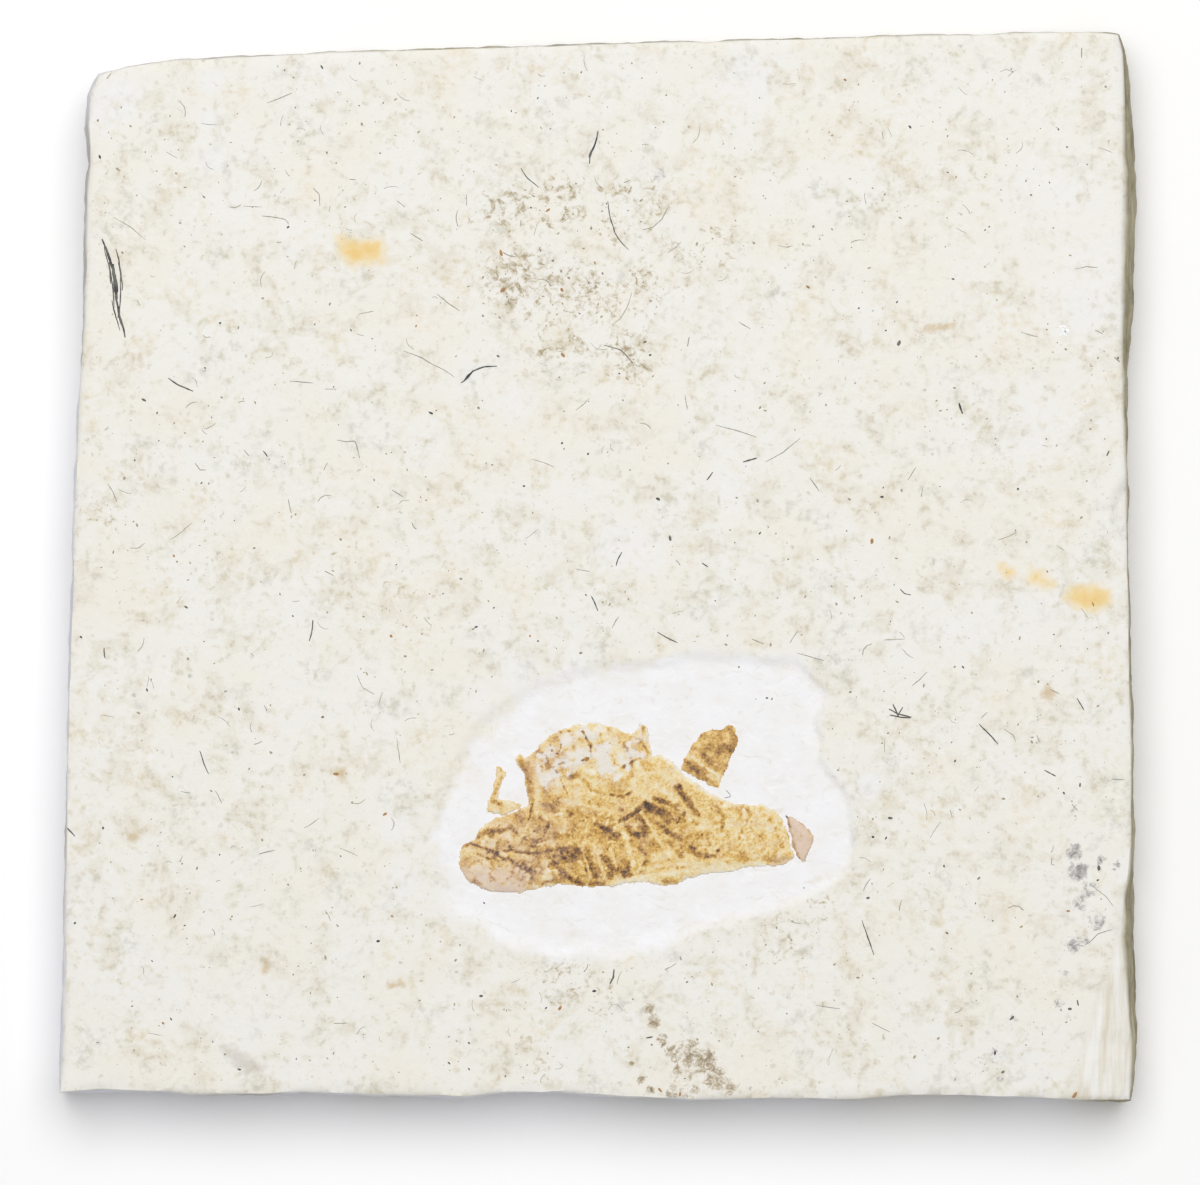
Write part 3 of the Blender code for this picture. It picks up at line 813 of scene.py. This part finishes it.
def random_strokes(count, seed, outline, half_widths, tones, longest):
    """Short strokes at random places inside an outline on the sheet."""
    rng = np.random.default_rng(seed)
    low = np.min(outline, 0)
    high = np.max(outline, 0)
    border = on_face(outline)
    strokes = []
    while len(strokes) < count:
        spot = rng.uniform(low, high)
        angle = rng.uniform(0, math.pi)
        reach = rng.uniform(0.5, longest / 2)
        half_width = rng.uniform(*half_widths)
        tone = rng.uniform(*tones)
        x, y = on_face([spot]).T
        if depth_inside(x, y, border)[0] > 0.1:
            move = np.array([math.cos(angle), math.sin(angle)]) * reach
            strokes.append((half_width, tone, (tuple(spot - move), tuple(spot + move))))
    return strokes


def film(name, outline, spacing, swell, seed):
    """A thin piece of the insect, cut from a fine sheet along a ragged outline. Its rim goes down
    into the stone. It gives back the piece and its places before they are raised."""
    border = on_face(outline)
    low = border.min(0) - 0.6
    high = border.max(0) + 0.6
    count = np.ceil((high - low) / spacing).astype(int)
    piece = grid(name, int(count[0]), int(count[1]))
    unit = places_of(piece) * MM
    x = low[0] + (unit[:, 0] + 1) / 2 * (high[0] - low[0])
    y = low[1] + (unit[:, 1] + 1) / 2 * (high[1] - low[1])

    def ragged(x, y):
        wobble = 0.13 * ripple(x, y, 0.8, seed) + 0.09 * ripple(x, y, 0.35, seed + 1)
        return depth_inside(x, y, border) + wobble

    places = np.column_stack([x, y, np.full(len(x), THICKNESS)])
    set_places(piece, places)
    inside = ragged(x, y)
    only(piece)
    bpy.ops.object.mode_set(mode="EDIT")
    bpy.ops.mesh.select_mode(type="VERT")
    bpy.ops.mesh.select_all(action="DESELECT")
    bpy.ops.object.mode_set(mode="OBJECT")
    piece.data.vertices.foreach_set("select", inside < -0.3 * spacing)
    bpy.ops.object.mode_set(mode="EDIT")
    bpy.ops.mesh.delete(type="VERT")
    bpy.ops.object.mode_set(mode="OBJECT")
    keep_largest(piece)
    select_rim(piece)
    drop_rim([0.12, 0.45])
    places = places_of(piece)
    x, y = places[:, 0].copy(), places[:, 1].copy()
    depth = THICKNESS - places[:, 2]
    inside = np.clip(ragged(x, y), 0, None)
    floor = face_height(x, y)
    relief = swell * step(inside, -0.1, 1.4) + 0.09 * step(inside, 0, 0.3)
    relief = relief + 0.035 * ripple(x, y, 0.7, seed + 2) + 0.03 * ripple(x, y, 0.33, seed + 3)
    places[:, 2] += floor + np.where(depth < 1e-4, relief, np.where(depth < 0.2, 0.02, 0))
    set_places(piece, places)
    only(piece)
    bpy.ops.object.shade_smooth()
    return piece, x, y, inside


def keep_largest(piece):
    """Deletes crumbs that the ragged outline left beside the piece."""
    only(piece)
    bpy.ops.object.mode_set(mode="EDIT")
    bpy.ops.mesh.select_mode(type="VERT")
    bpy.ops.mesh.select_all(action="DESELECT")
    bpy.ops.object.mode_set(mode="OBJECT")
    middle = places_of(piece)[:, :2].mean(0)
    first = int(np.argmin(np.hypot(*(places_of(piece)[:, :2] - middle).T)))
    piece.data.vertices[first].select = True
    bpy.ops.object.mode_set(mode="EDIT")
    bpy.ops.mesh.select_linked()
    bpy.ops.mesh.select_all(action="INVERT")
    bpy.ops.mesh.delete(type="VERT")
    bpy.ops.object.mode_set(mode="OBJECT")


def body_fields(x, y, inside):
    """Tone, rose tint and chalk over the insect's body."""
    sheet_x = x / SHEET_UNIT + SHEET_MIDDLE[0]
    sheet_y = SHEET_MIDDLE[1] - y / SHEET_UNIT
    head = 1 - step(sheet_x, 545, 585)
    middle = step(sheet_x, 545, 590) * (1 - step(sheet_x, 670, 715)) * step(sheet_y, 795, 812)
    chin = step(sheet_y, 862, 874) * (1 - step(sheet_x, 515, 550))
    lower = step(sheet_y, 858, 872) * step(sheet_x, 600, 640)
    tone = 0.4 + 0.1 * head + 0.13 * middle - 0.18 * chin - 0.14 * lower
    tone = tone + 0.09 * ripple(x, y, 0.9, 61) * (1 + head) + 0.08 * ripple(x, y, 0.45, 62)
    bands = np.sin((sheet_x * 0.86 - sheet_y * 0.5) / 5.2) * step(sheet_x, 570, 600)
    tone = tone + 0.05 * bands
    for index, (count, zone, widths, tones, longest) in enumerate(GRAIN_ZONES):
        tone = smeared(tone, x, y, random_strokes(count, 200 + index, zone, widths, tones, longest), 67)
    tone = smeared(tone, x, y, DARK_STROKES, 63)
    tone = smeared(tone, x, y, PALE_STROKES, 65)
    tone = tone - 0.16 * (1 - step(inside, 0.0, 0.4)) * (1 - chin)
    rear = step(sheet_x, 760, 778) * step(sheet_y, 850, 860)
    rose = np.clip(0.5 * chin + 0.3 * head + 0.4 * rear + 0.3 * ripple(x, y, 0.6, 69), 0, 1)
    thorax = depth_inside(x, y, on_face(CRUMBLED)) + 0.25 * ripple(x, y, 1.1, 70)
    chalk = step(thorax, -0.4, 0.5) * 0.52 + 0.2 * ripple(x, y, 0.7, 68) * step(thorax, -0.4, 0.5)
    chalk = chalk - 1.3 * np.maximum(0, tone - 0.6)
    chalk = chalk + 0.42 * (1 - step(inside, 0.0, 0.3)) * (1 - 0.8 * chin)
    return tone, rose, chalk


def build_insect(cuticle):
    pieces = []
    body, x, y, inside = film("insect_body_film", INSECT_BODY, 0.13, 0.2, 71)
    for name, values in zip(("tone", "rose", "chalk"), body_fields(x, y, inside)):
        set_attribute(body, name, values)
    pieces.append((body, "insect_body"))
    parts = (
        ("hind_leg_film", HIND_LEG, LEG_STROKES, "insect_hind_leg", 0.52, 0.1, 0.14),
        ("front_leg_film", FRONT_LEG, FRONT_STROKES, "insect_front_leg", 0.32, 0.1, 0.08),
        ("tail_tip_film", TAIL_TIP, TAIL_STROKES, "insect_tail_tip", 0.28, 0.9, 0.16),
    )
    for index, (name, outline, strokes, node, base, rose, swell) in enumerate(parts):
        seed = 81 + 10 * index
        piece, x, y, inside = film(name, outline, 0.11, swell, seed)
        tone = base + 0.14 * ripple(x, y, 0.7, seed + 4) + 0.08 * ripple(x, y, 0.35, seed + 5)
        set_attribute(piece, "tone", smeared(tone, x, y, strokes, seed + 6))
        set_attribute(piece, "rose", np.full(len(x), rose))
        set_attribute(piece, "chalk", 0.42 * (1 - step(inside, 0.0, 0.3)))
        pieces.append((piece, node))
    for piece, node in pieces:
        piece.data.materials.append(cuticle)
        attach(piece, "root")
        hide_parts(node)


# Fibres and specks

DARK_FIBRES = (
    (1.6, ((102, 239), (108, 254), (113, 270), (116, 298))),
    (1.9, ((113, 264), (116, 285), (117, 300))),
    (1.5, ((115, 296), (119, 312), (125, 337))),
    (1.0, ((116, 249), (121, 272), (122, 290))),
    (0.9, ((109, 262), (113, 288), (114, 308))),
    (0.8, ((120, 272), (121, 296), (118, 318))),
    (0.8, ((112, 300), (116, 318), (120, 330))),
    (0.7, ((104, 246), (109, 268), (111, 284))),
    (1.0, ((168, 378), (178, 385), (193, 391))),
    (1.0, ((461, 383), (466, 379), (473, 371), (484, 367), (497, 366))),
    (1.2, ((464, 381), (470, 374))),
    (1.1, ((598, 131), (594, 147), (590, 158), (589, 164))),
    (1.6, ((592, 150), (590, 158))),
    (0.7, ((608, 201), (610, 219), (616, 234), (622, 244), (628, 250))),
    (1.2, ((959, 403), (961, 409), (963, 414))),
    (1.1, ((614, 969), (613, 977), (610, 984))),
    (1.0, ((646, 1038), (653, 1037))),
    (1.0, ((743, 462), (757, 458))),
    (0.9, ((889, 709), (898, 714), (911, 717))),
    (0.9, ((890, 715), (900, 717), (911, 718))),
    (0.9, ((893, 704), (899, 717))),
    (0.8, ((903, 707), (899, 714))),
    (0.7, ((862, 920), (868, 938), (874, 955))),
    (0.9, ((1109, 451), (1107, 456))),
    (0.8, ((263, 451), (266, 454), (268, 457))),
    (0.7, ((200, 751), (204, 764), (209, 774))),
    (0.8, ((67, 828), (75, 836))),
    (0.8, ((591, 596), (595, 604), (598, 611))),
    (0.7, ((657, 632), (668, 638), (678, 643))),
    (0.7, ((900, 589), (905, 594), (911, 595))),
    (0.9, ((313, 620), (312, 632), (309, 641))),
    (0.8, ((104, 648), (105, 658))),
    (0.9, ((979, 724), (990, 735), (998, 744))),
    (0.7, ((1077, 698), (1084, 710))),
    (0.7, ((521, 168), (527, 178), (538, 187))),
    (0.6, ((604, 345), (621, 350), (633, 363))),
    (0.8, ((713, 472), (707, 480))),
    (0.8, ((702, 563), (708, 567))),
    (0.7, ((622, 552), (616, 566))),
    (0.8, ((1044, 770), (1056, 776))),
    (0.9, ((1077, 1000), (1079, 1006))),
)
GREY_FIBRES = (
    (0.5, ((113, 217), (132, 228), (146, 240))), (0.5, ((243, 206), (262, 207))),
    (0.6, ((262, 216), (285, 219), (289, 224))), (0.6, ((313, 188), (319, 194), (320, 206))),
    (0.6, ((267, 103), (280, 98), (292, 93))), (0.6, ((410, 233), (423, 241))),
    (0.6, ((437, 294), (448, 303), (460, 311))), (0.5, ((359, 314), (374, 311))),
    (0.6, ((403, 351), (422, 358), (440, 368), (454, 377))), (0.6, ((290, 381), (313, 383))),
    (0.5, ((325, 389), (336, 389))), (0.5, ((397, 201), (405, 207))),
    (0.6, ((1075, 269), (1086, 266), (1098, 268))), (0.6, ((1021, 332), (1038, 337))),
    (0.6, ((1095, 330), (1103, 334))), (0.7, ((1114, 357), (1120, 362))),
    (0.6, ((739, 322), (750, 329))), (0.6, ((882, 132), (883, 139))),
    (0.6, ((716, 425), (735, 430), (756, 437))), (0.6, ((765, 462), (784, 452), (800, 438))),
    (0.6, ((195, 463), (200, 470), (206, 470))), (0.6, ((244, 450), (249, 456))),
    (0.7, ((337, 440), (346, 442), (355, 441), (360, 458))), (0.6, ((108, 484), (113, 492), (117, 502))),
    (0.7, ((325, 571), (334, 576))), (0.5, ((170, 540), (180, 533), (192, 523))),
    (0.5, ((130, 548), (138, 548), (145, 543))), (0.6, ((288, 499), (291, 513))),
    (0.6, ((392, 490), (403, 497))), (0.5, ((357, 675), (363, 688), (374, 694))),
    (0.5, ((397, 738), (400, 763))), (0.5, ((215, 790), (222, 803))),
    (0.5, ((532, 459), (545, 463), (554, 467))), (0.5, ((576, 410), (590, 398))),
    (0.6, ((810, 478), (816, 486), (819, 491))), (0.5, ((685, 395), (687, 410))),
    (0.5, ((576, 569), (590, 571))), (0.5, ((612, 628), (619, 617))),
    (0.5, ((790, 643), (798, 631))), (0.6, ((797, 653), (808, 656), (824, 661))),
    (0.6, ((752, 639), (764, 644))), (0.5, ((908, 480), (916, 467))),
    (0.6, ((912, 686), (920, 679), (927, 672))), (0.5, ((884, 640), (905, 639))),
    (0.5, ((981, 718), (987, 712))), (0.5, ((1004, 729), (1013, 735), (1016, 742))),
    (0.6, ((1037, 735), (1039, 742))), (0.6, ((1050, 689), (1060, 694))),
    (0.5, ((998, 540), (1010, 536), (1016, 532))), (0.5, ((304, 828), (319, 818))),
    (0.6, ((259, 854), (275, 850))), (0.5, ((340, 848), (350, 852), (358, 856))),
    (0.5, ((180, 862), (182, 855))), (0.5, ((950, 810), (952, 818))),
    (0.5, ((930, 838), (940, 822))), (0.5, ((816, 1005), (840, 1009))),
    (0.5, ((872, 1023), (890, 1032))), (0.6, ((1072, 804), (1077, 810))),
    (0.6, ((1052, 858), (1051, 864), (1054, 865))), (0.6, ((663, 1034), (668, 1038))),
    (0.6, ((1112, 779), (1124, 779))), (0.5, ((632, 292), (627, 308), (621, 318), (612, 325))),
    (0.6, ((669, 206), (662, 219), (653, 227), (643, 230))), (0.7, ((689, 337), (687, 346))),
    (0.6, ((521, 220), (520, 226))), (0.7, ((1082, 48), (1082, 58))),
    (0.5, ((1090, 884), (1105, 896), (1114, 906))), (0.6, ((1085, 945), (1098, 934), (1112, 930))),
    (0.6, ((726, 790), (731, 796), (724, 798))),
)
DARK_SPECKS = (
    (144, 400, 3.0), (157, 413, 2.2), (431, 413, 3.0), (899, 343, 4.0), (897, 302, 2.0),
    (910, 127, 2.6), (186, 607, 3.2), (81, 637, 1.8), (239, 709, 2.4), (147, 690, 2.0),
    (322, 67, 2.8), (204, 197, 2.4), (288, 227, 2.0), (100, 157, 2.4), (220, 323, 2.0),
    (351, 330, 1.8), (658, 499, 2.8), (670, 538, 3.6), (588, 454, 2.2), (562, 443, 2.0),
    (524, 486, 2.4), (760, 533, 2.2), (586, 595, 1.8), (476, 627, 2.2), (538, 641, 1.6),
    (645, 342, 2.6), (650, 355, 2.2), (507, 297, 1.8), (498, 356, 2.2), (953, 279, 1.8),
    (985, 230, 1.8), (1026, 181, 1.4), (1031, 195, 1.6), (1018, 489, 1.8), (963, 667, 2.4),
    (882, 497, 2.2), (323, 717, 1.8), (280, 594, 1.8), (293, 616, 1.8), (103, 828, 2.6),
    (175, 916, 2.8), (75, 923, 2.2), (378, 941, 3.2), (890, 818, 3.4), (868, 898, 3.0),
    (873, 837, 2.4), (886, 838, 2.4), (944, 866, 2.2), (947, 933, 2.2), (955, 761, 2.6),
    (838, 770, 2.0), (1080, 785, 2.4), (1064, 793, 2.0), (1070, 1009, 3.0), (1012, 1018, 3.2),
    (995, 1053, 3.2), (1003, 1072, 3.0), (449, 1063, 2.4), (481, 996, 2.4), (469, 1043, 1.8),
    (469, 1069, 1.6), (594, 991, 2.4), (546, 1008, 2.4), (171, 1019, 1.8), (152, 961, 1.8),
    (267, 995, 1.4), (460, 945, 1.4), (767, 698, 1.6), (772, 699, 1.8), (756, 699, 1.0),
    (484, 903, 1.4), (804, 888, 1.4), (739, 667, 1.4), (787, 817, 2.0), (718, 851, 1.6),
    (1061, 1010, 1.6), (1099, 868, 3.4), (1098, 880, 1.6), (1118, 358, 1.6), (1098, 358, 1.4),
)
RUSTY_SPECKS = (
    (1093, 604, 2.6), (872, 541, 4.0), (322, 717, 1.6), (956, 177, 2.0), (845, 80, 3.4),
    (826, 405, 2.4), (808, 287, 2.4), (563, 355, 3.0), (503, 290, 4.0), (548, 210, 3.2),
    (501, 253, 3.4), (595, 263, 2.4), (562, 290, 3.4), (473, 629, 1.6), (530, 636, 1.8),
    (336, 774, 3.6), (416, 326, 1.6), (174, 556, 2.2), (391, 636, 2.2), (378, 507, 2.0),
    (163, 1023, 2.2), (385, 814, 3.0), (1068, 911, 2.4), (1098, 706, 2.0), (560, 1008, 2.8),
    (1075, 1095, 4.0), (680, 1094, 3.0), (660, 1090, 3.0),
)


def fibre_piece(name, strands, material, seed):
    """Thin round fibres that lie half sunk in the face, thinner towards their ends."""
    rng = random.Random(seed)
    curve = bpy.data.curves.new(name, "CURVE")
    curve.dimensions = "3D"
    curve.bevel_depth = 1.0
    curve.bevel_resolution = 0
    curve.use_fill_caps = True
    for half_width, line in strands:
        spots = on_face(line)
        reach = np.concatenate([[0], np.cumsum(np.hypot(*np.diff(spots, axis=0).T))])
        count = max(4, int(reach[-1] / 0.22))
        along = np.linspace(0, reach[-1], count)
        x = np.interp(along, reach, spots[:, 0])
        y = np.interp(along, reach, spots[:, 1])
        sway = rng.uniform(-0.06, 0.06)
        x = x + sway * np.sin(along * 2.1) + 0.03 * ripple(along, y, 0.5, seed)
        y = y - sway * np.sin(along * 1.7)
        z = THICKNESS + face_height(x, y)
        spline = curve.splines.new("POLY")
        spline.points.add(count - 1)
        for i in range(count):
            taper = 0.35 + 0.65 * math.sin(math.pi * min(1, (i + 0.5) / count)) ** 0.6
            uneven = 0.8 + 0.4 * hashed(np.int64(i), np.int64(count), seed)
            spline.points[i].co = (x[i] * MM, y[i] * MM, z[i] * MM, 1)
            spline.points[i].radius = 0.8 * half_width * SHEET_UNIT * MM * taper * uneven
    thing = bpy.data.objects.new(name, curve)
    bpy.context.scene.collection.objects.link(thing)
    only(thing)
    bpy.ops.object.convert(target="MESH")
    thing = bpy.context.object
    bpy.ops.object.mode_set(mode="EDIT")
    bpy.ops.mesh.select_all(action="SELECT")
    bpy.ops.mesh.remove_doubles(threshold=1e-6)
    bpy.ops.mesh.normals_make_consistent(inside=False)
    bpy.ops.object.mode_set(mode="OBJECT")
    thing.data.materials.clear()
    thing.data.materials.append(material)
    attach(thing, "root")
    return thing


def speck_piece(name, specks, material, seed):
    """Small flattened lumps, half sunk in the face: each is a coarse ball, copied and squashed."""
    rng = np.random.default_rng(seed)
    bpy.ops.object.select_all(action="DESELECT")
    bpy.ops.mesh.primitive_ico_sphere_add(subdivisions=1, radius=1)
    pattern = bpy.context.object
    ball = places_of(pattern) * MM
    faces = np.array([face.vertices[:] for face in pattern.data.polygons])
    bpy.data.objects.remove(pattern, do_unlink=True)
    spots = on_face([speck[:2] for speck in specks])
    sizes = np.array([speck[2] for speck in specks]) * SHEET_UNIT * 0.62
    heights = THICKNESS + face_height(spots[:, 0], spots[:, 1])
    corners = []
    for (x, y), size, height in zip(spots, sizes, heights):
        turn = rng.uniform(0, math.pi)
        long = size * rng.uniform(1.0, 1.7)
        wide = size * rng.uniform(0.55, 1.0)
        shape = ball * (1 + rng.uniform(-0.22, 0.22, (len(ball), 1)))
        a = shape[:, 0] * long
        b = shape[:, 1] * wide
        px = x + a * math.cos(turn) - b * math.sin(turn)
        py = y + a * math.sin(turn) + b * math.cos(turn)
        corners.append(np.column_stack([px, py, height + shape[:, 2] * min(0.06, size * 0.6)]))
    every = np.concatenate(corners) * MM
    shifts = np.repeat(np.arange(len(specks)) * len(ball), len(faces))[:, None]
    mesh = bpy.data.meshes.new(name)
    mesh.from_pydata(every.tolist(), [], (np.tile(faces, (len(specks), 1)) + shifts).tolist())
    thing = bpy.data.objects.new(name, mesh)
    bpy.context.scene.collection.objects.link(thing)
    mesh.materials.append(material)
    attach(thing, "root")
    return thing


def scattered(count, seed, smallest, largest):
    """Random places on the face for specks, away from the scraped hollow, more of them in some
    patches than in others."""
    rng = np.random.default_rng(seed)
    across = rng.uniform(95, 1112, count * 3)
    down = rng.uniform(62, 1084, count * 3)
    spots = on_face(np.column_stack([across, down]))
    x, y = spots[:, 0], spots[:, 1]
    crowd = 0.5 + 0.5 * ripple(x, y, 9, seed) + blot(x, y, STIPPLED)
    free = (depth_inside(x, y, HALO_MM) < -0.4) & (rng.uniform(0, 1.3, len(x)) < crowd)
    free &= x > np.interp(y, [spot[1] for spot in LEFT_EDGE], [spot[0] for spot in LEFT_EDGE]) + 0.8
    free &= scoop_depth(x, y) < 0.01
    size = smallest + (largest - smallest) * rng.uniform(0, 1, len(x)) ** 3
    chosen = np.flatnonzero(free)[:count]
    return [(across[i], down[i], size[i]) for i in chosen]


def scattered_fibres(count, seed):
    """Random short fibres, most of them slightly bent."""
    rng = np.random.default_rng(seed)
    strands = []
    for across, down, size in scattered(count, seed, 0.35, 0.7):
        heading = rng.uniform(0, math.pi)
        length = rng.uniform(5, 17)
        bend = rng.uniform(-0.9, 0.9)
        line = []
        for share in (-0.5, -0.17, 0.17, 0.5):
            angle = heading + bend * share
            line.append((across + length * share * math.cos(angle), down + length * share * math.sin(angle)))
        strands.append((size, line))
    return strands


def build_specks():
    soot = plain_mineral("carbonised_plant", ("#45474C", "#7A7A74"))
    ash = plain_mineral("greyed_plant", ("#9A9A95", "#BDB9AC"))
    rust = plain_mineral("rusty_grain", ("#B98C55", "#A7805A"))
    umber = plain_mineral("umber_grain", ("#B7AA90", "#9D9480"))
    fibre_piece("dark_plant_fibres", DARK_FIBRES, soot, 101)
    fibre_piece("grey_plant_fibres", GREY_FIBRES, ash, 102)
    fibre_piece("fine_plant_fibres", scattered_fibres(150, 103), ash, 103)
    speck_piece("dark_specks", DARK_SPECKS, soot, 104)
    speck_piece("rusty_specks", RUSTY_SPECKS, rust, 105)
    speck_piece("umber_grains", scattered(1100, 106, 0.8, 2.4), umber, 106)
    speck_piece("fine_dark_grains", scattered(320, 107, 0.8, 1.7), soot, 107)
    olive = plain_mineral("olive_clay", ("#6B6650", "#4C4A3C"))
    speck_piece("clay_in_pit", ((239, 1069, 7.5), (243, 1070, 6.0), (236, 1067, 5.0)), olive, 108)
    # A star of white lumps round one crystal: a painted glint, the sparkle of light on the crystal, built as lumps.
    calcite = plain_mineral("white_calcite_glint", ("#FAFAFA", "#F1F4F6"), 0.25)
    glint_rays = [(1063 + 4.5 * math.cos(a), 331 + 4.5 * math.sin(a), 3.2) for a in np.arange(0, 6.2, 1.05)]
    speck_piece("calcite_glint_star", tuple(glint_rays) + ((1063, 331, 5.0),), calcite, 109)


# Stage, light and camera

CAMERA_HEIGHT = 0.8
VIEW_WIDTH = 0.12  # of the face, across the whole picture
SENSOR = 36.0
SOFTBOX_PLACE = (0.0, 0.32, 1.0)  # nearly overhead, a little beyond the slab's upper edge
SOFTBOX_WIDTH = 0.95
SOFTBOX_WATTS = 9.2
DOME_LIGHT = 0.34


def build_stage():
    bpy.ops.mesh.primitive_plane_add(size=6)
    floor = bpy.context.object
    floor.name = "floor"
    material = bpy.data.materials.new("white_paper")
    material.use_nodes = True
    shader = material.node_tree.nodes["Principled BSDF"]
    shader.inputs["Base Color"].default_value = (0.98, 0.98, 0.98, 1)
    shader.inputs["Roughness"].default_value = 0.95
    shader.inputs["Specular IOR Level"].default_value = 0.0
    floor.data.materials.append(material)

    world = bpy.data.worlds.new("studio")
    world.use_nodes = True
    world.node_tree.nodes["Background"].inputs["Color"].default_value = (1.0, 1.0, 1.0, 1)
    world.node_tree.nodes["Background"].inputs["Strength"].default_value = DOME_LIGHT
    bpy.context.scene.world = world
    key = bpy.data.lights.new("softbox", "AREA")
    key.shape = "DISK"
    key.size = SOFTBOX_WIDTH
    key.energy = SOFTBOX_WATTS
    lamp = bpy.data.objects.new("softbox", key)
    lamp.location = SOFTBOX_PLACE
    lamp.rotation_euler = (Vector((0, 0, 0)) - lamp.location).to_track_quat("-Z", "Y").to_euler()
    bpy.context.scene.collection.objects.link(lamp)

    lens = bpy.data.cameras.new("camera")
    lens.sensor_width = SENSOR
    lens.lens = SENSOR * CAMERA_HEIGHT / VIEW_WIDTH
    lens.clip_end = 20
    camera = bpy.data.objects.new("camera", lens)
    picture_middle = 592.5
    camera.location = (0, (SHEET_MIDDLE[1] - picture_middle) * SHEET_UNIT * MM, THICKNESS * MM + CAMERA_HEIGHT)
    bpy.context.scene.collection.objects.link(camera)
    bpy.context.scene.camera = camera
    bpy.context.scene.view_settings.view_transform = "Standard"


bpy.ops.object.select_all(action="DESELECT")
slab = build_slab()
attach(slab, "root")
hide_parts("limestone_slab")
build_insect(mineral_film())
build_specks()
build_stage()
